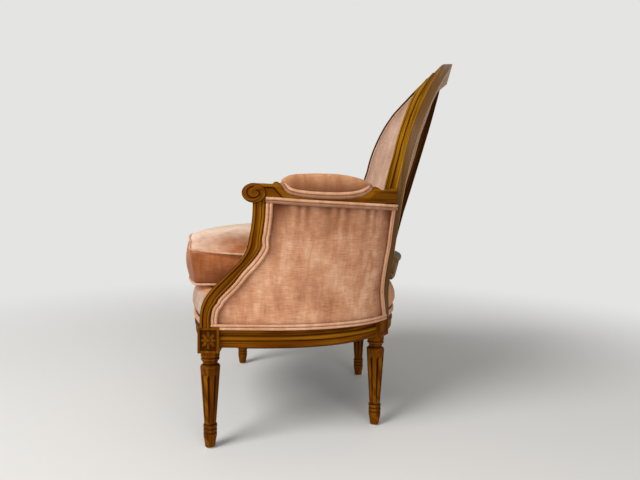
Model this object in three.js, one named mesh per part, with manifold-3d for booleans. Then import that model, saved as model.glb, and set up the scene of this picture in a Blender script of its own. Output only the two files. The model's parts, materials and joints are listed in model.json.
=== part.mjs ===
// A bergere chair: a turned and fluted beech frame on four legs, a horseshoe seat,
// closed upholstered arms that end in scrolls, a raked concave back with a moulded
// arched frame, and a loose box cushion. Millimetres, +Z up, the front faces -Y and the
// sitter's left is +X. Sizes run from the mid-plane, the floor and the front legs' centre
// line; the whole chair is centred over its own footprint at the end.

import * as THREE from 'three';
import { mergeVertices } from 'three/addons/utils/BufferGeometryUtils.js';
import Module from 'manifold-3d';

const wasm = await Module();
wasm.setup();

// Driving sizes of the whole chair.
const arm_half_width = 325;
const arm_overhang = 15;
const seat_half_width = arm_half_width - arm_overhang;
const leg_set_in = 15;
const front_leg_spread = seat_half_width - leg_set_in;
const back_set_in = 47;
const back_half_width = arm_half_width - back_set_in;
const seat_curve_start = 100;
const seat_curve_reach = 355;
const seat_curve_power = 2.3;
const seat_depth = seat_curve_start + seat_curve_reach;
const front_bow = 74;
const front_rail_reach = 8;
const rear_leg_share = 0.848;
const rear_leg_reach = seat_curve_start + rear_leg_share * seat_curve_reach;
const rail_bottom = 234;
const rail_height = 47;
const rail_thickness = 30;
const arm_run_on = 155;
const arm_curve_reach = seat_curve_reach + arm_run_on;
const arm_underside = 561;
const back_spring_height = 670;
const crest_height = 939.5;
const arch_power = 2.184;
const back_radius = 494;
const back_rake_share = 0.2436;
const back_foot_height = 385;
const back_overhang = 10.7;
const back_foot_reach = seat_depth + back_overhang;

// Fits. Wood meets wood and cloth with the same small seat; loose pieces have more.
const seat_gap = 0.35;
const loose_gap = 3;
const overrun = 4;
const weld_distance = 0.001;

// Legs.
const block_width = 47.5;
const front_block_bottom = 224;
const rear_block_bottom = 232;
const block_recess = 2.5;
const block_border = 6.5;
const rear_leg_inset = 13;
const flute_count = 8;
const flute_depth = 2.6;
const glide_height = 2.4;
const glide_radius = 9.6;
const foot_radius = 9;
const ankle_radius = 14.8;
const ankle_height = 38;
const ankle_bead = 15;
const shaft_foot_radius = 12.8;
const shaft_top_radius = 20.4;
const collar_radius = 22;
const neck_radius = 16;
const turning_height = 43;

// Arms.
const post_thickness = 28;
const post_width = 25;
const arm_width = 38;
const arm_height = 36;
const arm_front = 98;
const scroll_radius = 21.5;
const scroll_length = 51;
const scroll_groove = 3.4;
const pad_start = 153;
const pad_stop_short = 59;
const pad_height = 49;
const pad_bulge = 5;
const pad_core_inset = 9;
const pad_core_height = 20;

// Side upholstery.
const side_panel_thickness = 8;
const side_panel_crown = 4;
const side_stuffing = 40;
const side_stuffing_crown = 10;
const welt_width = 13;
const welt_height = 5;

// Back.
const stile_width = 40;
const stile_depth = 45;
const stile_edge = 20;
const stile_bevel = 18;
const stile_foot_angle = 53.5;
const stile_head_angle = -25;
const panel_rebate = 10;
const panel_recess = 14;
const panel_thickness = 6;
const crest_width = 58;
const back_rail_bottom = 372;
const back_rail_height = 54;
const back_rail_depth = 34;
const back_pad_crown = 26;

// Seat.
const strap_width = 50;
const strap_thickness = 1.4;
const dust_cover_thickness = 1.2;
const deck_height = 72;
const deck_bulge = 9;
const cushion_thickness = 97.5;
const cushion_arch = 26;
const cushion_crown = 15.5;
const cushion_front = 97;
const cushion_set_in = 79;
const cushion_half_width = arm_half_width - cushion_set_in;
const cushion_pull = 7;
const cushion_swell = 10.5;

const wood = { color: 0x7a4a12, roughness: 0.38, metalness: 0 };
const dark_wood = { color: 0x4a2a0c, roughness: 0.5, metalness: 0 };
const velvet = { color: 0xc79a78, roughness: 0.85, metalness: 0 };
const cloth = { color: 0x2a2826, roughness: 0.95, metalness: 0 };
const webbing = { color: 0x8a7350, roughness: 0.95, metalness: 0 };
const steel = { color: 0x6d6c6a, roughness: 0.45, metalness: 1 };
const nylon = { color: 0xb9b6ae, roughness: 0.5, metalness: 0 };

const rail_top = rail_bottom + rail_height;
const chair = new THREE.Group();

// Geometry tools.

function vec(x, y, z) {
  return new THREE.Vector3(x, y, z);
}

function mix(a, b, share) {
  return a + (b - a) * share;
}

function clamp01(value) {
  return Math.min(1, Math.max(0, value));
}

function ease(share) {
  const t = clamp01(share);
  return t * t * (3 - 2 * t);
}

// A closed geometry from points and triangles, its faces turned outward.
function closedGeometry(points, faces) {
  const geometry = new THREE.BufferGeometry();
  geometry.setAttribute('position', new THREE.Float32BufferAttribute(
    points.flatMap((p) => [p.x, p.y, p.z]), 3));
  geometry.setIndex(faces.flat());
  const merged = mergeVertices(geometry, weld_distance);
  const place = merged.getAttribute('position');
  const index = merged.getIndex().array;
  const corner = (i) => vec().fromBufferAttribute(place, i);
  const kept = [];
  let volume = 0;
  for (let i = 0; i < index.length; i += 3) {
    const [a, b, c] = [index[i], index[i + 1], index[i + 2]];
    if (a === b || b === c || a === c) continue;
    kept.push([a, b, c]);
    volume += corner(a).dot(corner(b).cross(corner(c)));
  }
  merged.setIndex((volume < 0 ? kept.map(([a, b, c]) => [a, c, b]) : kept).flat());
  return merged;
}

// Triangles that close a ring, turned the way the ring runs.
function capFaces(ring) {
  const normal = vec(0, 0, 0);
  ring.forEach((p, i) => {
    const q = ring[(i + 1) % ring.length];
    normal.add(vec((p.y - q.y) * (p.z + q.z), (p.z - q.z) * (p.x + q.x),
      (p.x - q.x) * (p.y + q.y)));
  });
  normal.normalize();
  const lean = Math.abs(normal.z) < 0.9 ? vec(0, 0, 1) : vec(1, 0, 0);
  const across = lean.cross(normal).normalize();
  const up = normal.clone().cross(across);
  const flat = ring.map((p) => new THREE.Vector2(p.dot(across), p.dot(up)));
  return THREE.ShapeUtils.triangulateShape(flat, []).map(([a, b, c]) => {
    const turn = (flat[b].x - flat[a].x) * (flat[c].y - flat[a].y)
      - (flat[b].y - flat[a].y) * (flat[c].x - flat[a].x);
    return turn < 0 ? [a, c, b] : [a, b, c];
  });
}

// A solid through rings of equally many points; a looped loft has no ends.
function loft(rings, looped = false) {
  const sides = rings[0].length;
  const faces = [];
  const spans = looped ? rings.length : rings.length - 1;
  for (let i = 0; i < spans; i++) {
    const a = i * sides;
    const b = ((i + 1) % rings.length) * sides;
    for (let j = 0; j < sides; j++) {
      const k = (j + 1) % sides;
      faces.push([a + j, a + k, b + k], [a + j, b + k, b + j]);
    }
  }
  if (!looped) {
    const end = (rings.length - 1) * sides;
    capFaces(rings[0]).forEach(([a, b, c]) => faces.push([a, c, b]));
    capFaces(rings[rings.length - 1]).forEach((face) => faces.push(face.map((n) => n + end)));
  }
  return closedGeometry(rings.flat(), faces);
}

function toSolid(geometry) {
  const bare = geometry.clone();
  bare.deleteAttribute('normal');
  bare.deleteAttribute('uv');
  const merged = mergeVertices(bare, weld_distance);
  return new wasm.Manifold(new wasm.Mesh({
    numProp: 3,
    vertProperties: new Float32Array(merged.getAttribute('position').array),
    triVerts: new Uint32Array(merged.getIndex().array),
  }));
}

function toGeometry(solid) {
  const mesh = solid.getMesh();
  const geometry = new THREE.BufferGeometry();
  geometry.setAttribute('position', new THREE.BufferAttribute(
    Float32Array.from(mesh.vertProperties), 3));
  geometry.setIndex(Array.from(mesh.triVerts));
  return geometry;
}

function join(...shapes) {
  return toGeometry(shapes.map(toSolid).reduce((whole, next) => whole.add(next)));
}

// The largest body that is left when the cutters are taken out of a shape.
function cut(shape, ...cutters) {
  const whole = cutters.map(toSolid).reduce((rest, tool) => rest.subtract(tool), toSolid(shape));
  const bodies = whole.decompose();
  bodies.sort((a, b) => b.volume() - a.volume());
  return toGeometry(bodies[0]);
}

function box(width, depth, height, x, y, z, turn = 0) {
  const geometry = new THREE.BoxGeometry(width, depth, height);
  geometry.rotateZ(turn);
  geometry.translate(x, y, z + height / 2);
  return geometry;
}

function mirrored(geometry) {
  const copy = geometry.clone();
  copy.scale(-1, 1, 1);
  const index = Array.from(copy.getIndex().array);
  for (let i = 0; i < index.length; i += 3) {
    [index[i], index[i + 1]] = [index[i + 1], index[i]];
  }
  copy.setIndex(index);
  return copy;
}

function add(name, geometry, finish) {
  const mesh = new THREE.Mesh(geometry, new THREE.MeshStandardMaterial(finish));
  mesh.name = name;
  chair.add(mesh);
}

function addPair(name, geometry, finish) {
  add(`${name}_left`, geometry, finish);
  add(`${name}_right`, mirrored(geometry), finish);
}

// A plan path: points with outward normals, sampled by distance along it.
function makePath(points) {
  const runs = [0];
  points.slice(1).forEach((p, i) => {
    runs.push(runs[i] + Math.hypot(p[0] - points[i][0], p[1] - points[i][1]));
  });
  const length = runs[runs.length - 1];
  const place = (run) => {
    let i = runs.findIndex((r) => r > run) - 1;
    if (i < 0) i = run <= 0 ? 0 : points.length - 2;
    const share = (run - runs[i]) / (runs[i + 1] - runs[i]);
    return [mix(points[i][0], points[i + 1][0], share), mix(points[i][1], points[i + 1][1], share)];
  };
  const at = (run) => {
    const step = length / 200;
    const before = place(Math.max(0, run - step));
    const after = place(Math.min(length, run + step));
    const [x, y] = place(run);
    const size = Math.hypot(after[0] - before[0], after[1] - before[1]);
    return { x, y, nx: (after[1] - before[1]) / size, ny: -(after[0] - before[0]) / size };
  };
  const runAtDepth = (depth) => {
    const i = points.findIndex((p) => p[1] >= depth);
    const share = (depth - points[i - 1][1]) / (points[i][1] - points[i - 1][1]);
    return mix(runs[i - 1], runs[i], share);
  };
  return { at, length, runAtDepth };
}

// A section of [outward, height] pairs carried along part of a path.
function sweep(path, from, to, steps, section) {
  const rings = [];
  for (let i = 0; i <= steps; i++) {
    const p = path.at(mix(from, to, i / steps));
    const outline = typeof section === 'function' ? section(p, i / steps) : section;
    rings.push(outline.map(([out, z]) => vec(p.x + p.nx * out, p.y + p.ny * out, z)));
  }
  return loft(rings);
}

// The two plan curves. Seat rails and arms are straight beside the sitter and close in
// behind as superellipses, the arms with a longer reach than the seat.

function curveX(y, halfWidth, reach) {
  const along = clamp01((y - seat_curve_start) / reach);
  return halfWidth * Math.pow(1 - Math.pow(along, seat_curve_power), 1 / seat_curve_power);
}

function curvePoints(halfWidth, reach, startY) {
  const points = [[halfWidth, startY]];
  const steps = 48;
  for (let i = 0; i <= steps; i++) {
    const angle = (i / steps) * Math.PI / 2;
    points.push([halfWidth * Math.pow(Math.cos(angle), 2 / seat_curve_power),
      seat_curve_start + reach * Math.pow(Math.sin(angle), 2 / seat_curve_power)]);
  }
  points[points.length - 1][0] = 0;
  return points;
}

const horseshoe = makePath(curvePoints(seat_half_width, seat_curve_reach, 0));
const rear_run = horseshoe.runAtDepth(rear_leg_reach);
const rear_foot = horseshoe.at(rear_run);
const rear_leg_x = rear_foot.x - rear_foot.nx * rear_leg_inset;
const rear_leg_y = rear_foot.y - rear_foot.ny * rear_leg_inset;
const rear_leg_turn = Math.atan2(rear_foot.ny, rear_foot.nx);

// The rear surface of the back: a cylinder about an upright axis, leaned back.

function backSurface(x, z) {
  const hollow = back_radius - Math.sqrt(back_radius * back_radius - x * x);
  return back_foot_reach + back_rake_share * (z - back_foot_height) - hollow;
}

// The outer rear edge of a stile, from its block to the spring of the arch.

function stileEdge(z) {
  const t = clamp01((z - rail_top) / (back_spring_height - rail_top));
  const foot = rear_leg_x - block_width / 2 * (Math.sin(rear_leg_turn) - Math.cos(rear_leg_turn));
  const sway = t * t * t - 2 * t * t + t;
  const x = foot + (back_half_width - foot) * (ease(t) + sway);
  const footY = rear_leg_y + block_width / 2 * (Math.sin(rear_leg_turn) + Math.cos(rear_leg_turn));
  const settle = 1 - ease((z - rail_top) / (back_foot_height - rail_top));
  return vec(x, mix(backSurface(x, z), footY, settle), z);
}

// The section of the back frame as [inward, forward] pairs from its outer rear edge:
// rear face, panel rebate, inner face, moulded front that falls away outward, outer edge.

const moulding_shares = [[1, 1], [0.86, 0.98], [0.72, 0.8], [0.6, 0.84], [0.42, 0.62],
  [0.3, 0.5], [0.24, 0.2], [0.1, 0.14], [0, 0]];

const panel_ledge = panel_recess + panel_thickness + seat_gap;

function frameSection(width, grow = 0) {
  const bevel = moulding_shares.map(([inShare, frontShare]) => [
    inShare * stile_bevel - grow,
    stile_edge + frontShare * (stile_depth - stile_edge) + grow * frontShare]);
  return [
    [-grow, -grow], [width - panel_rebate + grow, -grow],
    [width - panel_rebate + grow, panel_ledge - grow], [width + grow, panel_ledge - grow],
    [width + grow, stile_depth + grow], ...bevel];
}

function turned(angle) {
  const radians = THREE.MathUtils.degToRad(angle);
  return [Math.cos(radians), Math.sin(radians)];
}

// A frame is where a section stands: its outer rear edge, outward and rearward.
function stileFrame(z) {
  const share = clamp01((z - rail_top) / (back_spring_height - rail_top));
  const [ox, oy] = turned(mix(stile_foot_angle, stile_head_angle, share));
  return { edge: stileEdge(z), out: vec(ox, oy, 0), back: vec(-oy, ox, 0), width: stile_width };
}

function placed(frame, section) {
  return section.map(([inward, forward]) => frame.edge.clone()
    .addScaledVector(frame.out, -inward).addScaledVector(frame.back, -forward));
}

// The arch above the springs, as a quarter superellipse on the rear surface.

const crest_joint_share = 0.36;

function archFrame(angle) {
  const power = 2 / arch_power;
  const rise = crest_height - back_spring_height;
  const side = Math.sign(Math.cos(angle)) || 1;
  const cosine = Math.abs(Math.cos(angle));
  const sine = Math.sin(angle);
  const x = side * back_half_width * Math.pow(cosine, power);
  const z = back_spring_height + rise * Math.pow(sine, power);
  const edge = vec(x, backSurface(x, z), z);
  const gradient = vec(side * Math.pow(cosine, 2 - power) / back_half_width, 0,
    Math.pow(sine, 2 - power) / rise);
  const swing = THREE.MathUtils.degToRad(stile_head_angle) * (x / back_half_width);
  const back = vec(-Math.sin(swing), Math.cos(swing), 0);
  const lean = vec(back.x, back.y, -back_rake_share * ease(sine)).normalize();
  const out = gradient.normalize();
  out.addScaledVector(lean, -out.dot(lean)).normalize();
  return { edge, out, back, width: mix(stile_width, crest_width, ease(sine)) };
}

function stileLevels(from, to, steps) {
  return Array.from({ length: steps + 1 }, (_, i) => mix(from, to, i / steps));
}

function frameLoft(frames, grow) {
  return loft(frames.map((frame) => placed(frame, frameSection(frame.width, grow))));
}

function stile(grow = 0) {
  const frames = stileLevels(rail_top - overrun, back_spring_height, 10).map(stileFrame);
  const steps = 3;
  for (let i = 1; i <= steps; i++) {
    frames.push(archFrame((i / steps) * crest_joint_share * Math.PI / 2));
  }
  return frameLoft(frames, grow);
}

// Legs: a turned profile of [height, radius, flute] levels, fluted on the shaft.

function turnedLeg(top, turn) {
  const shaft_bottom = ankle_height + ankle_bead;
  const shaft_top = top - turning_height;
  const stop = flute_depth * 2;
  const profile = [
    [glide_height + seat_gap, foot_radius, 0],
    [ankle_height - stop / 2, shaft_foot_radius, 0],
    [ankle_height, ankle_radius, 0],
    [shaft_bottom - stop / 2, ankle_radius, 0],
    [shaft_bottom, shaft_foot_radius, 0],
    [shaft_bottom + stop, shaft_foot_radius, 0],
    [shaft_bottom + 2 * stop, shaft_foot_radius, 1],
    [shaft_top - 2 * stop, shaft_top_radius, 1],
    [shaft_top - stop, shaft_top_radius, 0],
    [shaft_top, shaft_top_radius, 0]];
  const head_shares = [[0.03, 1], [0.24, 1], [0.33, 0.84], [0.45, 0.727], [0.57, 0.91],
    [0.7, 0.91], [0.84, 1], [0.96, 0.95]];
  head_shares.forEach(([rise, wide]) => {
    profile.push([shaft_top + rise * turning_height, wide * collar_radius, 0]);
  });
  profile.push([top + overrun, neck_radius, 0]);
  const pitch = 2 * Math.PI / flute_count;
  const groove = [[0.2, 0], [0.6, 0], [0.9, 1]];
  const rings = profile.map(([z, radius, depth]) => Array.from(
    { length: flute_count * groove.length }, (_, i) => {
      const [share, sunk] = groove[i % groove.length];
      const angle = turn + (Math.floor(i / groove.length) + share) * pitch;
      const r = radius - sunk * depth * flute_depth;
      return vec(r * Math.cos(angle), r * Math.sin(angle), z);
    }));
  return loft(rings);
}

// A die block with sunk panels on the given faces, each an angle about its centre.

function dieBlock(bottom, top, faces) {
  const height = top - bottom;
  const panels = faces.map((angle) => {
    const panel = box(2 * block_recess, block_width - 2 * block_border,
      height - 2 * block_border, block_width / 2, 0, bottom + block_border);
    panel.rotateZ(angle);
    return panel;
  });
  return cut(box(block_width, block_width, height, 0, 0, bottom), ...panels);
}

function frontLeg() {
  const leg = join(turnedLeg(front_block_bottom, 0),
    dieBlock(front_block_bottom, rail_top, [0, -Math.PI / 2]));
  leg.translate(front_leg_spread, 0, 0);
  return leg;
}

function rearLeg() {
  const leg = join(turnedLeg(rear_block_bottom, 0), dieBlock(rear_block_bottom, rail_top, [0]));
  leg.rotateZ(rear_leg_turn);
  leg.translate(rear_leg_x, rear_leg_y, 0);
  return join(leg, stile());
}

function glide(x, y) {
  const disc = new THREE.CylinderGeometry(glide_radius, glide_radius, glide_height, 16);
  disc.rotateX(Math.PI / 2);
  disc.translate(x, y, glide_height / 2);
  return closedFromLathe(disc);
}

function closedFromLathe(geometry) {
  geometry.deleteAttribute('normal');
  geometry.deleteAttribute('uv');
  return mergeVertices(geometry, weld_distance);
}

addPair('front_leg', frontLeg(), wood);
addPair('rear_leg', rearLeg(), wood);
addPair('front_glide', glide(front_leg_spread, 0), nylon);
addPair('rear_glide', glide(rear_leg_x, rear_leg_y), nylon);

// Seat rails: a lower band, a groove, a bead and a plain strip for the upholstery.

const rail_groove = 4;
const rail_bead = 2;
const rail_shares = [[0, 0], [0, 0.33], [-1, 0.37], [0, 0.4], [1, 0.46], [1, 0.58], [0, 0.65],
  [-1, 0.68], [-1, 0.74], [0, 0.78], [0, 1]];
const rail_section = [
  [-rail_thickness, rail_bottom],
  ...rail_shares.map(([out, rise]) => [out < 0 ? out * rail_groove : out * rail_bead,
    rail_bottom + rise * rail_height]),
  [-rail_thickness, rail_top]];
const rail_room = [[-rail_thickness - seat_gap, rail_bottom - overrun],
  [rail_bead + seat_gap, rail_bottom - overrun], [rail_bead + seat_gap, rail_top + overrun],
  [-rail_thickness - seat_gap, rail_top + overrun]];

const block_reach = block_width / 2 + seat_gap;
const block_room_width = 2 * block_reach;
const front_block_room = box(block_room_width, block_room_width, rail_height + 2 * overrun,
  front_leg_spread, 0, rail_bottom - overrun);
const rear_block_room = box(block_room_width, block_room_width, rail_height + 2 * overrun,
  rear_leg_x, rear_leg_y, rail_bottom - overrun);
rear_block_room.translate(-rear_leg_x, -rear_leg_y, 0);
rear_block_room.rotateZ(rear_leg_turn);
rear_block_room.translate(rear_leg_x, rear_leg_y, 0);

const front_chord = front_leg_spread;
const front_radius = (front_chord * front_chord + front_bow * front_bow) / (2 * front_bow);
const front_path = makePath(Array.from({ length: 41 }, (_, i) => {
  const half = Math.asin(front_chord / front_radius);
  const angle = mix(-half, half, i / 40);
  return [front_radius * Math.sin(angle),
    front_radius * Math.cos(half) - front_rail_reach - front_radius * Math.cos(angle)];
}));
const half_curve = curvePoints(seat_half_width, seat_curve_reach, 0);
const rear_path = makePath([...half_curve,
  ...half_curve.slice(0, -1).reverse().map(([x, y]) => [-x, y])]);

function sideRail(section) {
  return sweep(horseshoe, 0, rear_run, 12, section);
}

function rearRail(section) {
  return sweep(rear_path, rear_run, rear_path.length - rear_run, 10, section);
}

function frontRail(section) {
  return sweep(front_path, 0, front_path.length, 12, section);
}

addPair('side_rail', cut(sideRail(rail_section), front_block_room, rear_block_room), wood);
add('rear_rail', cut(rearRail(rail_section), rear_block_room, mirrored(rear_block_room)), wood);
add('front_rail', cut(frontRail(rail_section), front_block_room, mirrored(front_block_room)),
  wood);

// Arm posts: swept back in an S from the front block to the scroll.

const post_curve = new THREE.SplineCurve([
  [-0.2, 0], [-0.19, 0.1], [-0.13, 0.2], [0.02, 0.29], [0.32, 0.43], [0.6, 0.53], [0.8, 0.63],
  [0.9, 0.75], [0.955, 0.88], [0.97, 1]].map(([y, z]) => new THREE.Vector2(y, z)));
const post_bottom = rail_top + seat_gap;
const post_top = arm_underside - seat_gap;
const flattest_rise_share = 0.5;
const widest_post_share = 1.45;

// How much wider than its own thickness a post is at one height, where it leans back.
function postLean(slope) {
  return Math.min(widest_post_share, 1 / Math.max(flattest_rise_share, slope.y));
}

function postRing(share, grow) {
  const p = post_curve.getPoint(share);
  const slope = post_curve.getTangent(share);
  const front = p.x * arm_front - grow;
  const rear = front + post_width * postLean(slope) + 2 * grow;
  const z = mix(post_bottom - grow, post_top + grow, p.y);
  const outer = front_leg_spread + block_width / 2 - seat_gap + grow;
  const inner = outer - post_thickness - 2 * grow;
  const edge = post_width / 8;
  const middle = (front + rear) / 2;
  return [[inner, front], [outer - edge, front], [outer, front + edge], [outer, middle - edge],
    [outer - edge, middle], [outer, middle + edge], [outer, rear - edge], [outer - edge, rear],
    [inner, rear]].map(([x, y]) => vec(x, y, z));
}

function armPost(grow = 0) {
  return loft(Array.from({ length: 15 }, (_, i) => postRing(i / 14, grow)));
}

addPair('arm_post', cut(armPost(), scroll(seat_gap)), wood);

// Arm rails: a moulded rail along the arm curve, lowered to a core under its pad, with a
// volute at the front.

const arm_points = curvePoints(arm_half_width, arm_curve_reach, 0);
const arm_path = makePath(arm_points);
const arm_end = back_foot_reach - stile_depth - overrun;
const pad_end = arm_end - pad_stop_short;

function armSection(top, bottom) {
  const edge = arm_height / 10;
  const half = mix(bottom, top, 0.5);
  return [[-arm_width, bottom], [-edge, bottom], [0, bottom + edge], [0, half - edge],
    [-edge, half], [0, half + edge], [0, top - edge], [-edge, top], [-arm_width, top]];
}

const arm_fall_share = 0.7;

function armRail(grow = 0) {
  const top = arm_underside + arm_height + grow;
  const bottom = arm_underside - grow;
  const whole = sweep(arm_path, arm_path.runAtDepth(arm_front), arm_path.runAtDepth(arm_end), 14,
    (p, share) => armSection(top - ease((share - arm_fall_share) / (1 - arm_fall_share))
      * arm_height / 6, bottom));
  const step = sweep(arm_path, arm_path.runAtDepth(pad_start), arm_path.runAtDepth(pad_end), 8,
    [[overrun, arm_underside + arm_height / 4], [overrun, top + overrun],
      [-arm_width - overrun, top + overrun], [-arm_width - overrun, arm_underside + arm_height / 4]]);
  return join(cut(whole, step), armCore(grow), scroll());
}

function armCore(grow = 0) {
  const top = arm_underside + arm_height / 4 + pad_core_height + grow;
  return sweep(arm_path, arm_path.runAtDepth(pad_start - overrun),
    arm_path.runAtDepth(pad_end + overrun), 8,
    [[-pad_core_inset + grow, arm_underside + grow], [-pad_core_inset + grow, top],
      [pad_core_inset - arm_width - grow, top], [pad_core_inset - arm_width - grow,
        arm_underside + grow]]);
}

// The volute: an oval drum across the arm, with a spiral sunk in each end.

function scroll(grow = 0) {
  const centre = arm_underside + arm_height / 2 - scroll_groove / 2;
  const ring = (x, scale) => Array.from({ length: 20 }, (_, i) => {
    const angle = (i / 20) * 2 * Math.PI;
    return vec(x, arm_front + (scale * scroll_length / 2 + grow) * Math.cos(angle),
      centre + (scale * scroll_radius + grow) * Math.sin(angle));
  });
  const outer = arm_half_width + scroll_groove / 2 + grow;
  const inner = arm_half_width - arm_width - scroll_groove / 2 - grow;
  const edge_share = 0.93;
  const drum = loft([ring(inner, edge_share), ring(inner + scroll_groove / 2, 1),
    ring(outer - scroll_groove / 2, 1), ring(outer, edge_share)]);
  if (grow) return drum;
  const spiral_shares = [0.72, 0.16];
  const spiral = (x) => {
    const turns = 1.5;
    const steps = 13;
    return loft(Array.from({ length: steps + 1 }, (_, i) => {
      const angle = Math.PI / 2 + (i / steps) * turns * 2 * Math.PI;
      const reach = mix(...spiral_shares, i / steps);
      const across = [Math.cos(angle) * scroll_length / 2, Math.sin(angle) * scroll_radius];
      const spots = [[-1, 0], [0, -1], [1, 0], [0, 1]];
      return spots.map(([wide, deep]) => {
        const far = reach + wide * scroll_groove / scroll_length;
        return vec(x + deep * scroll_groove / 2, arm_front + across[0] * far, centre + across[1] * far);
      });
    }));
  };
  return cut(drum, spiral(outer), spiral(inner));
}

addPair('arm_rail', cut(armRail(), stile(seat_gap)), wood);

// Arm pads: stuffed over the core of the rail, with a double welt along each lower edge.

const pad_base = arm_underside + arm_height / 4 + seat_gap;
const pad_tuck_rise_share = 0.19;
const pad_rise_shares = [0.62, 0.88, 0.97, 1, 1, 0.98, 0.92, 0.78, 0.56];
const pad_shares = [[0.93, 0], [0.93, 0.19], [1.06, 0.32], [1.07, 0.52], [0.92, 0.82], [0.55, 0.96],
  [0, 1], [-0.55, 0.96], [-0.92, 0.82], [-1.07, 0.52], [-1.06, 0.32], [-0.93, 0.19], [-0.93, 0]];

function armPad() {
  const half = arm_width / 2 + pad_bulge / 2;
  const crown = (share) => {
    const place = share * (pad_rise_shares.length - 1);
    const i = Math.min(Math.floor(place), pad_rise_shares.length - 2);
    return mix(pad_rise_shares[i], pad_rise_shares[i + 1], place - i);
  };
  return sweep(arm_path, arm_path.runAtDepth(pad_start + seat_gap),
    arm_path.runAtDepth(pad_end - seat_gap), 10, (p, share) => pad_shares.map(([wide, rise]) => [
      wide * half - arm_width / 2, pad_base + pad_height * (Math.min(rise, pad_tuck_rise_share)
        + Math.max(0, rise - pad_tuck_rise_share) * crown(share))]));
}

const welt_shares = [[0, 0], [0.06, 0.7], [0.25, 1], [0.5, 0.5], [0.75, 1], [0.94, 0.7], [1, 0]];

const pad_tuck_share = 0.93;
const pad_welt_share = 0.17;

function armPadWelt(side) {
  const base = pad_tuck_share * (arm_width + pad_bulge) / 2 + seat_gap;
  return sweep(arm_path, arm_path.runAtDepth(pad_start + overrun),
    arm_path.runAtDepth(pad_end - overrun), 8, welt_shares.map(([up, out]) => [
      side * (base + out * pad_bulge * pad_tuck_share) - arm_width / 2,
      pad_base + up * pad_height * pad_welt_share]));
}

addPair('arm_pad', cut(armPad(), armCore(seat_gap)), velvet);
addPair('arm_pad_outer_welt', armPadWelt(1), velvet);
addPair('arm_pad_inner_welt', armPadWelt(-1), velvet);

// Side upholstery, on a surface that runs from the seat curve up to the arm curve, and
// from the arm post back to the outer face of the stile.

const panel_bottom = rail_top + seat_gap;
const panel_top = arm_underside - seat_gap;
const panel_arm_inset = 12;
const stile_show = 14;

function postRear(z) {
  let low = 0;
  let high = 1;
  const level = clamp01((z - post_bottom) / (post_top - post_bottom));
  for (let i = 0; i < 30; i++) {
    const middle = (low + high) / 2;
    if (post_curve.getPoint(middle).y < level) low = middle;
    else high = middle;
  }
  const slope = post_curve.getTangent(low);
  return post_curve.getPoint(low).x * arm_front + post_width * postLean(slope) + seat_gap;
}

// Where the upholstery ends on the outer face of the stile.
function panelEnd(z) {
  const share = clamp01((z - rail_top) / (back_spring_height - rail_top));
  const [ox, oy] = turned(mix(stile_foot_angle, stile_head_angle, share));
  return stileEdge(z).add(vec(oy * stile_show, -ox * stile_show, 0));
}

function sidePoint(along, z, out) {
  const front = postRear(z);
  const end = panelEnd(z);
  const y = mix(front, end.y, along);
  const rise = ease((z - panel_bottom) / (panel_top - panel_bottom));
  const across = (depth) => mix(curveX(depth, seat_half_width, seat_curve_reach),
    curveX(depth, arm_half_width, arm_curve_reach) - panel_arm_inset, rise);
  const pull = along * along * along;
  const lean = (depth) => across(depth) + pull * (end.x - across(end.y));
  const slope = (lean(y + overrun) - lean(y - overrun)) / (2 * overrun);
  const size = Math.hypot(1, slope);
  return vec(lean(y) + out / size, y - out * slope / size, z);
}

function sideSwell(along, z) {
  return Math.sin(Math.PI * clamp01(along))
    * Math.sin(Math.PI * clamp01((z - panel_bottom) / (panel_top - panel_bottom)));
}

const panel_level_shares = [0, 0.1, 0.2, 0.31, 0.45, 0.62, 0.8, 1];
const slab_shares = stileLevels(0, 1, 10);
const room_shares = [-0.06, ...slab_shares, 1.03];

function sideSlab(outer, inner, endAt = () => 1, shares = slab_shares) {
  const heights = panel_level_shares.map((share) => mix(panel_bottom, panel_top, share));
  return loft(shares.map((share) => {
    const row = (out) => heights.map((z) => {
      const along = share * endAt(z);
      return sidePoint(along, z, out(sideSwell(along, z)));
    });
    return [...row(outer), ...row(inner).reverse()];
  }));
}

const stile_room = stile(seat_gap);
const post_room = armPost(seat_gap);
const panelFace = (lift) => (swell) => swell * side_panel_crown + lift;
const panel_slab = sideSlab(panelFace(0), () => -side_panel_thickness);
addPair('side_panel', cut(panel_slab, stile_room, post_room), velvet);

// The stuffing inside the panel stops in front of the stile.
const stuffing_back = -side_panel_thickness - seat_gap;
const stuffingFace = (swell) => stuffing_back - side_stuffing - swell * side_stuffing_crown;

function stuffingEnd(z) {
  const frame = stileFrame(z);
  const front = postRear(z);
  const stop = frame.edge.y - frame.back.y * stile_depth;
  return (stop - front) / (panelEnd(z).y - front);
}

const stuffing_slab = sideSlab(() => stuffing_back + overrun / 2, stuffingFace, stuffingEnd);
const panel_room = sideSlab(() => arm_height, () => stuffing_back, () => 1, room_shares);
addPair('inner_arm', cut(stuffing_slab, panel_room, stile_room, post_room), velvet);

// The double welt round a side panel, lapping onto the rail below.
function sideWelt() {
  const lap = welt_width / 2;
  const low = rail_top - lap;
  const spots = [];
  const steps = [14, 4, 10, 6];
  for (let i = 0; i < steps[0]; i++) spots.push([i / steps[0], 0]);
  for (let i = 0; i < steps[1]; i++) spots.push([1, i / steps[1]]);
  for (let i = 0; i < steps[2]; i++) spots.push([1 - i / steps[2], 1]);
  for (let i = 0; i < steps[3]; i++) spots.push([0, 1 - i / steps[3]]);
  const depth = arm_end - arm_front;
  return loft(spots.map(([along, up]) => welt_shares.map(([wide, high]) => {
    const inset = wide * welt_width;
    const z = mix(low + inset, panel_top - inset, up);
    const place = mix(inset / depth, 1 - inset / depth, along);
    const swell = sideSwell(place, z) * side_panel_crown;
    return sidePoint(place, z, swell + 4 * seat_gap + high * welt_height);
  })), true);
}

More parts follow.
